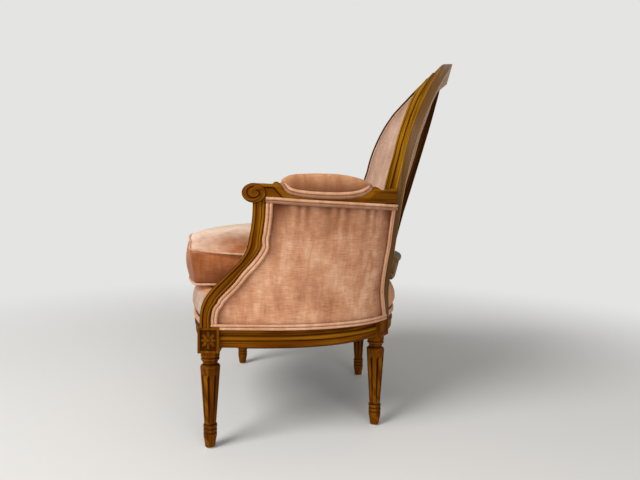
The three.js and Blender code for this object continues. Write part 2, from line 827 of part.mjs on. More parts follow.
addPair('side_welt', cut(sideWelt(), stile_room, post_room, front_block_room, rear_block_room),
  velvet);

// Back: a crest rail on the stiles, a lower rail between them, a plywood panel behind and
// an upholstered pad in front.

function crest(grow = 0) {
  const start = crest_joint_share * Math.PI / 2 + (grow ? 0 : seat_gap / back_half_width);
  return frameLoft(stileLevels(start, Math.PI - start, 14).map(archFrame), grow);
}

function backPoint(x, z, forward) {
  const sine = x / back_radius;
  return vec(x - sine * forward, backSurface(x, z) - Math.sqrt(1 - sine * sine) * forward, z);
}

// A sheet that follows the back, its half width given by height.
function backSlab(halfWidth, heights, rear, front, columns) {
  return loft(columns.map((share) => {
    const row = (depth) => heights.map((z) => {
      const x = share * halfWidth(z);
      return backPoint(x, z, depth(x, z));
    });
    return [...row(rear), ...row(front).reverse()];
  }));
}

function sheetHalf(z) {
  return (z < back_spring_height ? stileEdge(z).x : back_half_width) - stile_width / 2;
}

const crest_room = crest(seat_gap);
const lower_rail_top = back_rail_bottom + back_rail_height;
const lower_rail_shares = [[1, 0], [1, 0.78], [0.3, 0.82], [0, 0.88], [0.3, 0.96], [1, 1]];

function lowerRail(grow = 0) {
  const bead = rail_bead + 1;
  const half = sheetHalf(back_rail_bottom);
  return loft(stileLevels(-half, half, 8).map((x) => {
    const rear = lower_rail_shares.map(([sunk, rise]) => backPoint(x,
      back_rail_bottom - grow + rise * (back_rail_height + 2 * grow), sunk * bead - bead - grow));
    return [...rear, backPoint(x, lower_rail_top + grow, back_rail_depth + grow),
      backPoint(x, back_rail_bottom - grow, back_rail_depth + grow)];
  }));
}

const frame_rooms = [stile_room, mirrored(stile_room), crest_room];
const lower_rail_room = lowerRail(seat_gap);
add('crest_rail', crest(), wood);
add('back_lower_rail', cut(lowerRail(), stile_room, mirrored(stile_room)), wood);

const panel_sheet = backSlab(() => back_half_width,
  [lower_rail_top - panel_rebate, crest_height - overrun],
  () => panel_recess, () => panel_recess + panel_thickness, stileLevels(-1, 1, 12));
add('back_panel', cut(panel_sheet, ...frame_rooms, lower_rail_room), dark_wood);

// A double welt round the pad, just inside the moulded frame.
const pad_edge = 4;
const flipped = ({ edge, out, back, width }) => ({ edge: vec(-edge.x, edge.y, edge.z),
  out: vec(-out.x, out.y, out.z), back: vec(-back.x, back.y, back.z), width });
const welt_sides = stileLevels(lower_rail_top, back_spring_height, 5).map(stileFrame);
const welt_arch = stileLevels(0, Math.PI, 16).slice(1, -1).map(archFrame);
const welt_frames = [...welt_sides, ...welt_arch, ...welt_sides.map(flipped).reverse()];

function backWelt(section) {
  return loft(welt_frames.map((frame) => placed(frame, section.map(([across, high]) => [
    frame.width + seat_gap + across, stile_depth + high]))));
}

const back_welt_section = welt_shares.map(([across, high]) => [
  across * welt_width / 2 + seat_gap, high * (pad_edge + rail_bead) - pad_edge]);

// The pad, in rings that start from the frame and shrink towards the middle of the back.
const pad_middle = (back_rail_bottom + crest_height) / 2;
const pad_foot_shares = [-0.75, -0.5, -0.25, 0, 0.25, 0.5, 0.75];

function padRing(inset, depth, scale, crown) {
  const foot = stileFrame(back_rail_bottom);
  const frames = [foot, ...welt_frames, flipped(foot)];
  const rim = frames.map((frame) => placed(frame, [[frame.width + inset, depth]])[0]);
  const foot_half = rim[0].x;
  const low = pad_foot_shares.map((share) => backPoint(share * foot_half, back_rail_bottom, depth));
  return [...rim, ...low].map((p) => {
    const x = p.x * scale;
    const z = mix(pad_middle, p.z, scale);
    const lift = mix(depth, backSurface(p.x, p.z) - p.y, scale * scale * scale);
    return vec(x, backSurface(x, z) - lift - crown * back_pad_crown, z);
  });
}

const pad_rear = panel_ledge + seat_gap;
const pad_front = stile_depth - pad_edge - 4 * seat_gap;
const pad_inset = welt_width / 2 + overrun;
const pad_scale_shares = [[0.93, 0.3], [0.85, 0.64], [0.7, 0.88], [0.45, 0.97], [0.2, 1]];
const pad_hollow_share = 0.3;
const pad_rings = [padRing(pad_inset, pad_rear, pad_hollow_share, 0), padRing(-overrun, pad_rear, 1, 0),
  padRing(-overrun, pad_front, 1, 0), padRing(pad_inset, pad_front, 1, 0),
  ...pad_scale_shares.map(([scale, crown]) => padRing(pad_inset, pad_front, scale, crown))];
add('back_pad', cut(loft(pad_rings), ...frame_rooms, lower_rail_room, stuffing_slab,
  mirrored(stuffing_slab)), velvet);
add('back_welt', backWelt(back_welt_section), velvet);

// Seat platform: webbing under the rails, springs on it, and a stuffed deck on top that
// swells past the front and rear rails.

const strap_top = rail_bottom - seat_gap;
const strap_bottom = strap_top - strap_thickness;
const long_strap_shares = [-0.46, 0, 0.46];
const cross_strap_shares = [0.198, 0.418, 0.637];

function frontEdge(x) {
  return front_radius * Math.cos(Math.asin(front_chord / front_radius)) - front_rail_reach
    - Math.sqrt(front_radius * front_radius - x * x);
}

function rearEdge(x) {
  return seat_curve_start + seat_curve_reach * Math.pow(
    1 - Math.pow(Math.abs(x) / seat_half_width, seat_curve_power), 1 / seat_curve_power);
}

function webbingGrid() {
  const hem = rail_thickness / 2;
  const straps = long_strap_shares.map((share) => {
    const x = share * seat_half_width;
    const reach = Math.abs(x) + strap_width / 2;
    const front = frontEdge(reach) + hem;
    const rear = rearEdge(reach) - hem;
    return box(strap_width, rear - front, strap_thickness, x, (front + rear) / 2, strap_bottom);
  });
  cross_strap_shares.forEach((share) => {
    const y = share * seat_depth;
    const half = curveX(y + strap_width / 2, seat_half_width, seat_curve_reach) - hem;
    straps.push(box(2 * half, strap_width, strap_thickness, 0, y, strap_bottom));
  });
  return join(...straps);
}

add('webbing', cut(webbingGrid(), rear_block_room, mirrored(rear_block_room)), webbing);

const spring_radius = 34;
const spring_wire = 3.6;
const spring_turns = 3;
const spring_waist_share = 0.7;
const spring_place_shares = [[-0.34, 0.24], [0.34, 0.24], [0, 0.42], [-0.34, 0.6], [0.34, 0.6]];

// A waisted coil, ground flat at both ends.
function seatSpring(x, y) {
  const bottom = rail_bottom + seat_gap;
  const height = rail_height + loose_gap - seat_gap;
  const steps = spring_turns * 6;
  const rings = Array.from({ length: steps + 1 }, (_, i) => {
    const share = i / steps;
    const angle = share * spring_turns * 2 * Math.PI;
    const radius = spring_radius * mix(spring_waist_share, 1, Math.pow(2 * share - 1, 2));
    const z = bottom + spring_wire / 2 + share * (height - spring_wire);
    return [[-1, 0], [0, -1], [1, 0], [0, 1]].map(([out, up]) => vec(
      x + Math.cos(angle) * (radius + out * spring_wire / 2),
      y + Math.sin(angle) * (radius + out * spring_wire / 2), z + up * spring_wire / 2));
  });
  return loft(rings);
}

spring_place_shares.forEach(([across, along], i) => {
  add(`seat_spring_${i + 1}`, seatSpring(across * seat_half_width, along * seat_depth), steel);
});

const outline_end_share = 0.03;

// Plan outline of the seat, offset outward from the rails' outer faces.
function seatOutline(out) {
  const spots = [];
  const frontSteps = 12;
  const inset = front_path.length * outline_end_share;
  for (let i = 0; i <= frontSteps; i++) {
    const p = front_path.at(mix(inset, front_path.length - inset, i / frontSteps));
    spots.push([p.x + p.nx * out, p.y + p.ny * out]);
  }
  const steps = 24;
  for (let i = 1; i <= steps; i++) {
    const p = rear_path.at(mix(block_reach, rear_path.length - block_reach, i / (steps + 1)));
    spots.push([p.x + p.nx * out, p.y + p.ny * out]);
  }
  return spots;
}

// All that lies outside the inner faces of one arm, and the deck's room round its post.
function armRoom(gap) {
  const outside = sideSlab(() => arm_half_width / 2, (swell) => stuffingFace(swell) - gap,
    stuffingEnd, room_shares);
  const width = arm_half_width;
  const post = box(width, block_width + 2 * front_bow, 2 * rail_height,
    front_leg_spread + block_width / 2 - post_thickness - gap + width / 2,
    overrun - front_bow, rail_top - overrun);
  return [outside, post, panel_room];
}

const deck_bottom = rail_top + loose_gap + seat_gap;
const deck_edge_shares = [[0, -0.4], [0.3, 1], [0.6, 0.8], [0.88, -0.2], [1, -2]];

function seatDeck() {
  const rings = deck_edge_shares.map(([rise, out]) => seatOutline(out * deck_bulge)
    .map(([x, y]) => vec(x, y, deck_bottom + rise * deck_height)));
  const rooms = armRoom(seat_gap);
  const all = [...rooms, ...rooms.map(mirrored), stile_room, mirrored(stile_room)];
  return cut(loft(rings), ...all);
}

add('seat_deck', seatDeck(), velvet);

function deckWelt(path, from, to, steps) {
  const low = rail_top - welt_width / 2;
  return sweep(path, from, to, steps, welt_shares.map(([up, out]) => [
    seat_gap + out * welt_height, low + up * welt_width]));
}

add('front_welt', cut(deckWelt(front_path, block_reach, front_path.length - block_reach, 14),
  seatDeck(), front_block_room, mirrored(front_block_room), armPost(seat_gap),
  mirrored(armPost(seat_gap))), velvet);
add('rear_welt', cut(deckWelt(rear_path, rear_run, rear_path.length - rear_run, 10),
  rear_block_room, mirrored(rear_block_room), stile_room, mirrored(stile_room)), velvet);

// The loose cushion: its plan is found by casting rays from its middle to what bounds it.

const cushion_bottom = deck_bottom + deck_height + seat_gap;
const cushion_middle = seat_depth / 3;

const cushion_levels = stileLevels(cushion_bottom, cushion_bottom + cushion_thickness, 3);
const arm_faces = cushion_levels.map((z) => stileLevels(0, stuffingEnd(z), 16).map((along) => {
  const p = sidePoint(along, z, stuffingFace(sideSwell(along, z)));
  return [p.x, p.y];
}));

function insideArm(x, y) {
  return arm_faces.every((face) => {
    const i = face.findIndex((spot) => spot[1] > y);
    if (i <= 0) return x < face[i < 0 ? face.length - 1 : 0][0] - loose_gap;
    const share = (y - face[i - 1][1]) / (face[i][1] - face[i - 1][1]);
    return x < mix(face[i - 1][0], face[i][0], share) - loose_gap;
  });
}

function clearOfStile(x, y) {
  return cushion_levels.every((z) => {
    const { edge, out, back } = stileFrame(z);
    const from = vec(x - edge.x, y - edge.y, 0);
    return -from.dot(out) > stile_width + loose_gap || -from.dot(back) > stile_depth + loose_gap;
  });
}

function insideCushion(x, y) {
  const side = Math.abs(x);
  if (side > cushion_half_width || !insideArm(side, y) || !clearOfStile(side, y)) return false;
  const bow = front_bow * (x / front_chord) * (x / front_chord);
  if (y < bow - cushion_front) return false;
  return y < backSurface(x, cushion_bottom) - stile_depth - back_pad_crown - loose_gap;
}

const corner_depth = cushion_middle + cushion_front
  - front_bow * Math.pow(cushion_half_width / front_chord, 2);
const corner_angle = Math.atan2(-corner_depth, cushion_half_width);
const cushion_angles = [...stileLevels(corner_angle, Math.PI - corner_angle, 28),
  ...stileLevels(Math.PI - corner_angle, 2 * Math.PI + corner_angle, 12).slice(1, -1)];
const cushion_sides = cushion_angles.length;
const cushion_rays = cushion_angles.map((angle) => {
  let low = 0;
  let high = 2 * seat_half_width;
  for (let step = 0; step < 24; step++) {
    const middle = (low + high) / 2;
    if (insideCushion(middle * Math.cos(angle), cushion_middle + middle * Math.sin(angle))) {
      low = middle;
    } else high = middle;
  }
  return { angle, reach: low };
});

// Rings as [share of the plan, height share, pull or swell of the boxing, crown share].
const cushion_ring_shares = [[0.5, 0, 0, 0], [0.96, 0.01, 0, 0], [0.985, 0.04, 0, 0],
  [1, 0.09, 0, 0], [1, 0.14, 0.25, 0], [1, 0.35, 0.75, 0], [1, 0.6, 1, 0], [1, 0.84, 0.6, 0],
  [1, 0.9, 0, 0], [0.99, 0.96, 0, 0.06], [0.94, 0.97, 0, 0.55], [0.84, 0.97, 0, 0.88],
  [0.6, 0.97, 0, 0.98], [0.25, 0.97, 0, 1]];

// The upper seam rises from the cushion's corners and sides to its middle.
function seamLift(x, rise) {
  const side = clamp01(Math.abs(x) / cushion_half_width);
  return cushion_arch * (1 - Math.pow(side, 4)) * ease(rise);
}

const corner_sharp_share = 0.06;

function cushion() {
  return loft(cushion_ring_shares.map(([plan, rise, pull, crown]) => cushion_rays.map(
    ({ angle, reach }, i) => {
      const before = cushion_rays[(i + cushion_sides - 1) % cushion_sides].reach;
      const after = cushion_rays[(i + 1) % cushion_sides].reach;
      const corner = clamp01((2 * reach - before - after) / (corner_sharp_share * reach));
      const bulge = Math.sin(angle) < Math.sin(corner_angle) ? cushion_swell : -cushion_pull;
      const r = (reach + pull * bulge * (1 - corner)) * plan;
      const x = r * Math.cos(angle);
      return vec(x, cushion_middle + r * Math.sin(angle),
        cushion_bottom + rise * cushion_thickness + crown * cushion_crown + seamLift(x, rise));
    })));
}

add('seat_cushion', cushion(), velvet);

// Under the seat: glue blocks in the corners and a dust cover tacked beneath the rails.

const corner_block_size = 62;
const side_rail_room = sideRail(rail_room);
const corner_height = rail_height * 0.7;
const corner_set_in_share = 0.35;
const corner_depth_share = 0.9;

function cornerBlock(x, y, turn, ...rooms) {
  const blank = box(corner_block_size, corner_block_size, corner_height, 0, 0,
    rail_bottom + (rail_height - corner_height) / 2);
  blank.rotateZ(turn);
  blank.translate(x, y, 0);
  return cut(blank, ...rooms);
}

const front_corner = front_leg_spread - block_width / 2 - corner_block_size * corner_set_in_share;
addPair('front_corner_block', cornerBlock(front_corner,
  corner_depth_share * block_width, Math.PI / 4, side_rail_room, frontRail(rail_room),
  front_block_room), wood);
const inward = block_width / 2 + corner_block_size / 2 + seat_gap;
addPair('rear_corner_block', cornerBlock(rear_leg_x - Math.cos(rear_leg_turn) * inward,
  rear_leg_y - Math.sin(rear_leg_turn) * inward, rear_leg_turn, side_rail_room,
  rearRail(rail_room), rear_block_room), wood);

const cover_top = strap_bottom - seat_gap;
function dustCover() {
  const hem = -rail_thickness / 4;
  const outline = seatOutline(hem);
  const sheet = loft([cover_top, cover_top - dust_cover_thickness].map((z) => outline
    .map(([x, y]) => vec(x, y, z))));
  return cut(sheet, ...[front_block_room, mirrored(front_block_room), rear_block_room,
    mirrored(rear_block_room)]);
}

add('dust_cover', dustCover(), cloth);

// The chair stands centred on its own footprint.
const reach = new THREE.Box3().setFromObject(chair);
chair.position.y = -(reach.min.y + reach.max.y) / 2;

export default chair;
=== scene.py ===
# A bergere chair in antiqued beech and salmon velvet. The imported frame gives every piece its
# place; the fine pieces below are made from the same curves, in millimetres from the chair's
# mid-plane, the front legs' centre line and the floor, and turned to metres as each is made.

import json
import math

import bmesh
import bpy
import numpy as np
from mathutils import Matrix, Vector

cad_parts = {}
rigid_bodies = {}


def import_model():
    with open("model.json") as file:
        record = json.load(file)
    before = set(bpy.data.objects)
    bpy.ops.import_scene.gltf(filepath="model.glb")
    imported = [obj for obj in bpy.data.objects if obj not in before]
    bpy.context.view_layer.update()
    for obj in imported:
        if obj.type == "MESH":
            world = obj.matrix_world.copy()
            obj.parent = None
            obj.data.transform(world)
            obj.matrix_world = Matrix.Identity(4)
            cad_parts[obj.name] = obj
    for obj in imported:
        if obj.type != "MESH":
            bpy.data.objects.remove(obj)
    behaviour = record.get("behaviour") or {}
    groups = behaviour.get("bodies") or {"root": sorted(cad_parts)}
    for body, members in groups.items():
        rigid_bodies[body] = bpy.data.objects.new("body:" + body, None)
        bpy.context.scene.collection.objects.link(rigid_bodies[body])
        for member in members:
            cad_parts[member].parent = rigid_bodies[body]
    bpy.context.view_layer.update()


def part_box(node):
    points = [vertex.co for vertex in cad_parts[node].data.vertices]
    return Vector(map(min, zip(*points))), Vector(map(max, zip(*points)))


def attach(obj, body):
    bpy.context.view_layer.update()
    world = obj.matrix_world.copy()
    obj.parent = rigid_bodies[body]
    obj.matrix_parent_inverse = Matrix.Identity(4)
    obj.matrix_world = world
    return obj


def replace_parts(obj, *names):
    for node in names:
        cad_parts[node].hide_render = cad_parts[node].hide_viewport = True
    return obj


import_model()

MM = 0.001
leg_low, leg_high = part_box("front_leg_left")
LEG_LINE = (leg_low.y + leg_high.y) / 2

# The chair's sizes, in millimetres.
SEAT_HALF, ARM_HALF, BACK_HALF = 310, 325, 278
CURVE_START, SEAT_REACH, ARM_REACH, CURVE_POWER, ARCH_POWER = 100, 355, 510, 2.3, 2.184
LEG_SPREAD, FRONT_BOW, FRONT_REACH, REAR_REACH = 295, 74, 8, 401.04
RAIL_BOTTOM, RAIL_TOP, RAIL_THICK = 234, 281, 30
ARM_BOTTOM, ARM_WIDE, ARM_FRONT = 561, 38, 98
SPRING_Z, CREST_Z, BACK_RADIUS, RAKE = 670, 939.5, 494, 0.2436
FOOT_Z, FOOT_REACH = 385, 465.7
BLOCK, GAP = 47.5, 0.35
# The opening between rail and arm, which posts and side covers fill.
OPEN_LOW, OPEN_HIGH = RAIL_TOP + GAP, ARM_BOTTOM - GAP
STILE_WIDE, STILE_DEEP, CREST_WIDE = 40, 45, 58
FRONT_LEG_TOP, REAR_LEG_TOP, LEG_INSET = 224, 232, 13
WELT = 13
# How far the stiles turn in plan, in degrees, at the seat and where the arch springs.
FOOT_TURN, SPRING_TURN = 53.5, -25


def mix(a, b, share):
    return a + (b - a) * share


def ease(share):
    share = np.clip(share, 0, 1)
    return share * share * (3 - 2 * share)


def unit(v):
    v = np.asarray(v, float)
    return v / np.linalg.norm(v, axis=-1, keepdims=True)


def quarter_turn(way):
    """Directions in a plane, turned a quarter clockwise."""
    return np.stack([way[..., 1], -way[..., 0]], -1)


def distances(points):
    """How far along a line each of its points lies."""
    return np.concatenate([[0], np.cumsum(np.linalg.norm(np.diff(points, axis=0), axis=1))])


def at_level(ring, z):
    """Points from rows of [x, y] at one height."""
    return np.column_stack([ring, np.full(len(ring), z)])


def read(table, place, column=1):
    """A table's value at a place in its first column, on a straight line between its rows."""
    return np.interp(place, table[:, 0], table[:, column])


def new_object(name, data):
    """An object put into the scene."""
    made = bpy.data.objects.new(name, data)
    bpy.context.scene.collection.objects.link(made)
    return made


# Camera: where the photograph was taken from, level with the arms.

def set_camera():
    """Puts the camera by its spot and its turn, downward tip and roll."""
    spot = np.array([1.3627, 0.2036 + LEG_LINE, 0.5493])
    turn, tip, roll = math.radians(2.10), math.radians(3.92), math.radians(0.93)
    ahead = np.array([-math.cos(turn) * math.cos(tip), math.sin(turn) * math.cos(tip),
                      -math.sin(tip)])
    right = np.array([math.sin(turn), math.cos(turn), 0])
    up = np.cross(right, ahead)
    across = right * math.cos(roll) + up * math.sin(roll)
    above = up * math.cos(roll) - right * math.sin(roll)
    data = bpy.data.cameras.new("camera")
    data.lens, data.sensor_width = 27, 36
    camera = new_object("camera", data)
    columns = np.eye(4)
    columns[:3, 0], columns[:3, 1], columns[:3, 2], columns[:3, 3] = across, above, -ahead, spot
    camera.matrix_world = Matrix(columns.tolist())
    bpy.context.scene.camera = camera


# Materials.

def colour(code, alpha=1):
    channels = [int(code[i:i + 2], 16) / 255 for i in (1, 3, 5)]
    linear = [c / 12.92 if c <= 0.04045 else ((c + 0.055) / 1.055) ** 2.4 for c in channels]
    return (*linear, alpha)


def join(material, node, links):
    """Joins a node's sockets to other nodes' outputs."""
    for key, (source, output) in links.items():
        material.node_tree.links.new(source.outputs[output], node.inputs[key])


def add_node(material, kind, settings=None, inputs=None, links=None):
    """Adds a node; inputs sets its sockets and links joins them to other nodes' outputs."""
    node = material.node_tree.nodes.new(kind)
    for key, value in (settings or {}).items():
        setattr(node, key, value)
    for key, value in (inputs or {}).items():
        node.inputs[key].default_value = value
    join(material, node, links or {})
    return node


def tone_ramp(material, source, stops):
    """Colours at places along a ramp, read by a node's output."""
    node = add_node(material, "ShaderNodeValToRGB", links={"Fac": source})
    ramp = node.color_ramp
    while len(ramp.elements) < len(stops):
        ramp.elements.new(1)
    for element, (place, code) in zip(ramp.elements, stops):
        element.position, element.color = place, colour(code)
    return node, "Color"


def noise(material, way, stretch=None, **values):
    """Cloudy noise read over a way, drawn out by a stretch where one is given."""
    if stretch:
        values["Scale"] = 1
        way = (add_node(material, "ShaderNodeMapping", inputs={"Scale": stretch},
                        links={"Vector": way}), "Vector")
    return add_node(material, "ShaderNodeTexNoise", inputs=values, links={"Vector": way}), "Fac"


def times_plus(material, source, share, other):
    """An output times a share, plus another output."""
    return add_node(material, "ShaderNodeMath", {"operation": "MULTIPLY_ADD"}, {1: share},
                    {0: source, 2: other}), "Value"


def laid_over(material, under, over, share):
    """A colour over another by a share; the upper one is a code or a node's output."""
    inputs, links = {}, {"Factor": share, "A": under}
    if isinstance(over, str):
        inputs["B"] = colour(over)
    else:
        links["B"] = over
    return add_node(material, "ShaderNodeMix", {"data_type": "RGBA"}, inputs, links), "Result"


def carried(material, source, low, high, start=0, stop=1):
    """An output carried from a span of start to stop to one of low to high."""
    return add_node(material, "ShaderNodeMapRange", inputs={
        "From Min": start, "From Max": stop, "To Min": low, "To Max": high},
        links={"Value": source}), "Result"


def raised(material, height, strength, distance):
    """Fine relief from an output; its distance is in metres."""
    return add_node(material, "ShaderNodeBump", inputs={
        "Strength": strength, "Distance": distance}, links={"Height": height}), "Normal"


def mark_of(material, name, output="Fac"):
    """What each point of a piece was marked with."""
    return add_node(material, "ShaderNodeAttribute", {"attribute_name": name}), output


def own_place(material):
    return add_node(material, "ShaderNodeTexCoord"), "Object"


def new_material(name, **values):
    material = bpy.data.materials.new(name)
    material.use_nodes = True
    shader = material.node_tree.nodes["Principled BSDF"]
    for key, value in values.items():
        shader.inputs[key.replace("_", " ")].default_value = value
    return material, shader


# Meshes.

def add_piece(name, points, faces, finish, slot, body="frame", sharp=34, marks=None):
    """A mesh from points in millimetres, its faces turned outward, riding on a body."""
    mesh = bpy.data.meshes.new(name)
    mesh.from_pydata((np.asarray(points, float) * MM + (0, LEG_LINE, 0)).tolist(), [], faces)
    mesh.update()
    for key, values in (marks or {}).items():
        values = np.asarray(values, np.float32)
        kind = "FLOAT_VECTOR" if values.ndim > 1 else "FLOAT"
        attribute = mesh.attributes.new(key, kind, "POINT")
        attribute.data.foreach_set("vector" if values.ndim > 1 else "value", values.ravel())
    tool = bmesh.new()
    tool.from_mesh(mesh)
    if tool.calc_volume(signed=True) < 0:
        bmesh.ops.reverse_faces(tool, faces=tool.faces[:])
    tool.to_mesh(mesh)
    tool.free()
    mesh.polygons.foreach_set("use_smooth", [True] * len(mesh.polygons))
    if sharp:
        mesh.set_sharp_from_angle(angle=math.radians(sharp))
    mesh.materials.append(finish)
    piece = new_object(name, mesh)
    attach(piece, body)
    return piece


def loft_faces(count, sides, looped):
    """Four-sided faces between rings; a loft that isn't looped is closed at its ends."""
    rows = np.arange(count if looped else count - 1)[:, None]
    cols = np.arange(sides)[None, :]
    this, following = rows * sides, (rows + 1) % count * sides
    beside = (cols + 1) % sides
    faces = np.stack([this + cols, this + beside, following + beside, following + cols], -1)
    faces = faces.reshape(-1, 4).tolist()
    if not looped:
        faces.append(list(reversed(range(sides))))
        faces.append(list(range((count - 1) * sides, count * sides)))
    return faces


def along_and_round(rings):
    """Distance along and round a loft, in metres, for grain that follows the timber."""
    rings = np.asarray(rings, float)
    along = distances(rings.mean(1))
    step = np.linalg.norm(rings - np.roll(rings, 1, 1), axis=2)
    step[:, 0] = 0
    around = np.cumsum(step, 1)
    return np.stack([np.broadcast_to(along[:, None], around.shape), around,
                     np.zeros_like(around)], -1) * MM


def add_loft(name, rings, finish, slot, looped=False, hollow=None, **options):
    """A loft through rings; hollow marks how deep in a groove or in shade each point lies, for
    brown glazing and painted shade, or, below nought, how far it stands out to be lightened,
    partly as wear and partly as painted highlight."""
    rings = np.asarray(rings, float)
    count, sides = rings.shape[:2]
    marks = {"grain_way": along_and_round(rings).reshape(-1, 3)}
    if hollow is not None:
        marks["hollow"] = np.broadcast_to(hollow, (count, sides)).ravel()
    return add_piece(name, rings.reshape(-1, 3), loft_faces(count, sides, looped), finish, slot,
                     marks=marks, **options)


def add_both(name, rings, finish, slot, **options):
    """The same loft on the left and, mirrored, on the right, as pairs of [side, piece]. The
    side takes the place of {} in the name."""
    return [(side, add_loft(name.format(side), np.asarray(rings) * (flip, 1, 1), finish, slot,
                            **options)) for side, flip in (("left", 1), ("right", -1))]


def smoothed(values, steps, closed=True):
    """A line with each point drawn towards its neighbours, a number of times over."""
    values = np.asarray(values, float)
    for _ in range(steps):
        if closed:
            values = (np.roll(values, 1, 0) + 2 * values + np.roll(values, -1, 0)) / 4
        else:
            inner = (values[:-2] + 2 * values[1:-1] + values[2:]) / 4
            values = np.vstack([values[:1], inner, values[-1:]])
    return values


# The chair's curves, as in its frame.

def curve_x(y, half, reach):
    """Half the chair's width at a depth, on a curve that closes at its reach."""
    along = np.clip((np.asarray(y, float) - CURVE_START) / reach, 0, 1)
    return half * (1 - along ** CURVE_POWER) ** (1 / CURVE_POWER)


def curve_points(half, reach, steps=96):
    """The same curve as points, from the front round to the mid-plane."""
    angles = np.linspace(0, math.pi / 2, steps + 1)
    x = half * np.cos(angles) ** (2 / CURVE_POWER)
    y = CURVE_START + reach * np.sin(angles) ** (2 / CURVE_POWER)
    x[-1] = 0
    return np.vstack([[half, 0], np.stack([x, y], 1)])


class Path:
    """A plan curve with its outward side, read by the distance along it."""

    def __init__(self, points):
        self.points = np.asarray(points, float)
        self.runs = distances(self.points)
        self.length = self.runs[-1]

    def spot(self, run):
        return np.stack([np.interp(run, self.runs, self.points[:, i]) for i in (0, 1)], -1)

    def at(self, run):
        run = np.asarray(run, float)
        step = self.length / 200
        way = unit(self.spot(np.minimum(run + step, self.length))
                   - self.spot(np.maximum(run - step, 0)))
        return self.spot(run), quarter_turn(way)

    def run_at(self, depth):
        return float(np.interp(depth, self.points[:, 1], self.runs))

    def sweep(self, start, end, steps, section):
        """Rings of a section of [outward, height] rows carried along the path."""
        return np.array([np.column_stack([spot + side * section[:, :1], section[:, 1]])
                         for spot, side in zip(*self.at(np.linspace(start, end, steps + 1)))])


half_seat = curve_points(SEAT_HALF, SEAT_REACH)
SEAT_PATH = Path(half_seat)
REAR_PATH = Path(np.vstack([half_seat, (half_seat[:-1] * (-1, 1))[::-1]]))
ARM_PATH = Path(curve_points(ARM_HALF, ARM_REACH))
REAR_RUN = SEAT_PATH.run_at(REAR_REACH)
rear_spot, rear_side = SEAT_PATH.at(REAR_RUN)
REAR_LEG = rear_spot - rear_side * LEG_INSET
REAR_TURN = math.atan2(rear_side[1], rear_side[0])
FRONT_RADIUS = (LEG_SPREAD ** 2 + FRONT_BOW ** 2) / (2 * FRONT_BOW)
front_angle = math.asin(LEG_SPREAD / FRONT_RADIUS)
front_angles = np.linspace(-front_angle, front_angle, 81)
FRONT_PATH = Path(np.stack([
    FRONT_RADIUS * np.sin(front_angles),
    FRONT_RADIUS * math.cos(front_angle) - FRONT_REACH - FRONT_RADIUS * np.cos(front_angles)], 1))


def back_surface(x, z):
    """How far back the raked, hollow back lies."""
    return (FOOT_REACH + RAKE * (z - FOOT_Z)
            - (BACK_RADIUS - np.sqrt(BACK_RADIUS ** 2 - x * x)))


def stile_edge(z):
    """The stile's outer edge, which runs from the rear block into the back's arch."""
    t = float(np.clip((z - RAIL_TOP) / (SPRING_Z - RAIL_TOP), 0, 1))
    foot = REAR_LEG[0] - BLOCK / 2 * (math.sin(REAR_TURN) - math.cos(REAR_TURN))
    x = foot + (BACK_HALF - foot) * (ease(t) + t ** 3 - 2 * t * t + t)
    foot_y = REAR_LEG[1] + BLOCK / 2 * (math.sin(REAR_TURN) + math.cos(REAR_TURN))
    settle = 1 - ease((z - RAIL_TOP) / (FOOT_Z - RAIL_TOP))
    return np.array([x, mix(back_surface(x, z), foot_y, settle), z])


def stile_frame(z):
    """A place on the stile: its edge, its outward and backward ways, and its width."""
    share = float(np.clip((z - RAIL_TOP) / (SPRING_Z - RAIL_TOP), 0, 1))
    angle = math.radians(mix(FOOT_TURN, SPRING_TURN, share))
    out = np.array([math.cos(angle), math.sin(angle), 0])
    return stile_edge(z), out, np.array([-out[1], out[0], 0]), STILE_WIDE


def arch_frame(angle):
    """The same for a place on the arch, by its angle up from the left spring."""
    power = 2 / ARCH_POWER
    rise = CREST_Z - SPRING_Z
    side = -1 if math.cos(angle) < 0 else 1
    cosine, sine = abs(math.cos(angle)), math.sin(angle)
    x = side * BACK_HALF * cosine ** power
    z = SPRING_Z + rise * max(sine, 0) ** power
    swing = math.radians(SPRING_TURN) * (x / BACK_HALF)
    back = np.array([-math.sin(swing), math.cos(swing), 0])
    lean = unit(back - (0, 0, RAKE * float(ease(sine))))
    out = unit([side * cosine ** (2 - power) / BACK_HALF, 0, max(sine, 0) ** (2 - power) / rise])
    out = unit(out - lean * out.dot(lean))
    return (np.array([x, back_surface(x, z), z]), out, back,
            float(mix(STILE_WIDE, CREST_WIDE, ease(sine))))


def mirror_frame(spot):
    edge, out, back, wide = spot
    return edge * (-1, 1, 1), out * (-1, 1, 1), back * (-1, 1, 1), wide


def placed(spot, rows):
    """Rows of [inward, forward] at a place on the stile or arch, as points."""
    edge, out, back, _ = spot
    rows = np.asarray(rows, float)
    return edge - out * rows[:, :1] - back * rows[:, 1:2]


# Finishes.

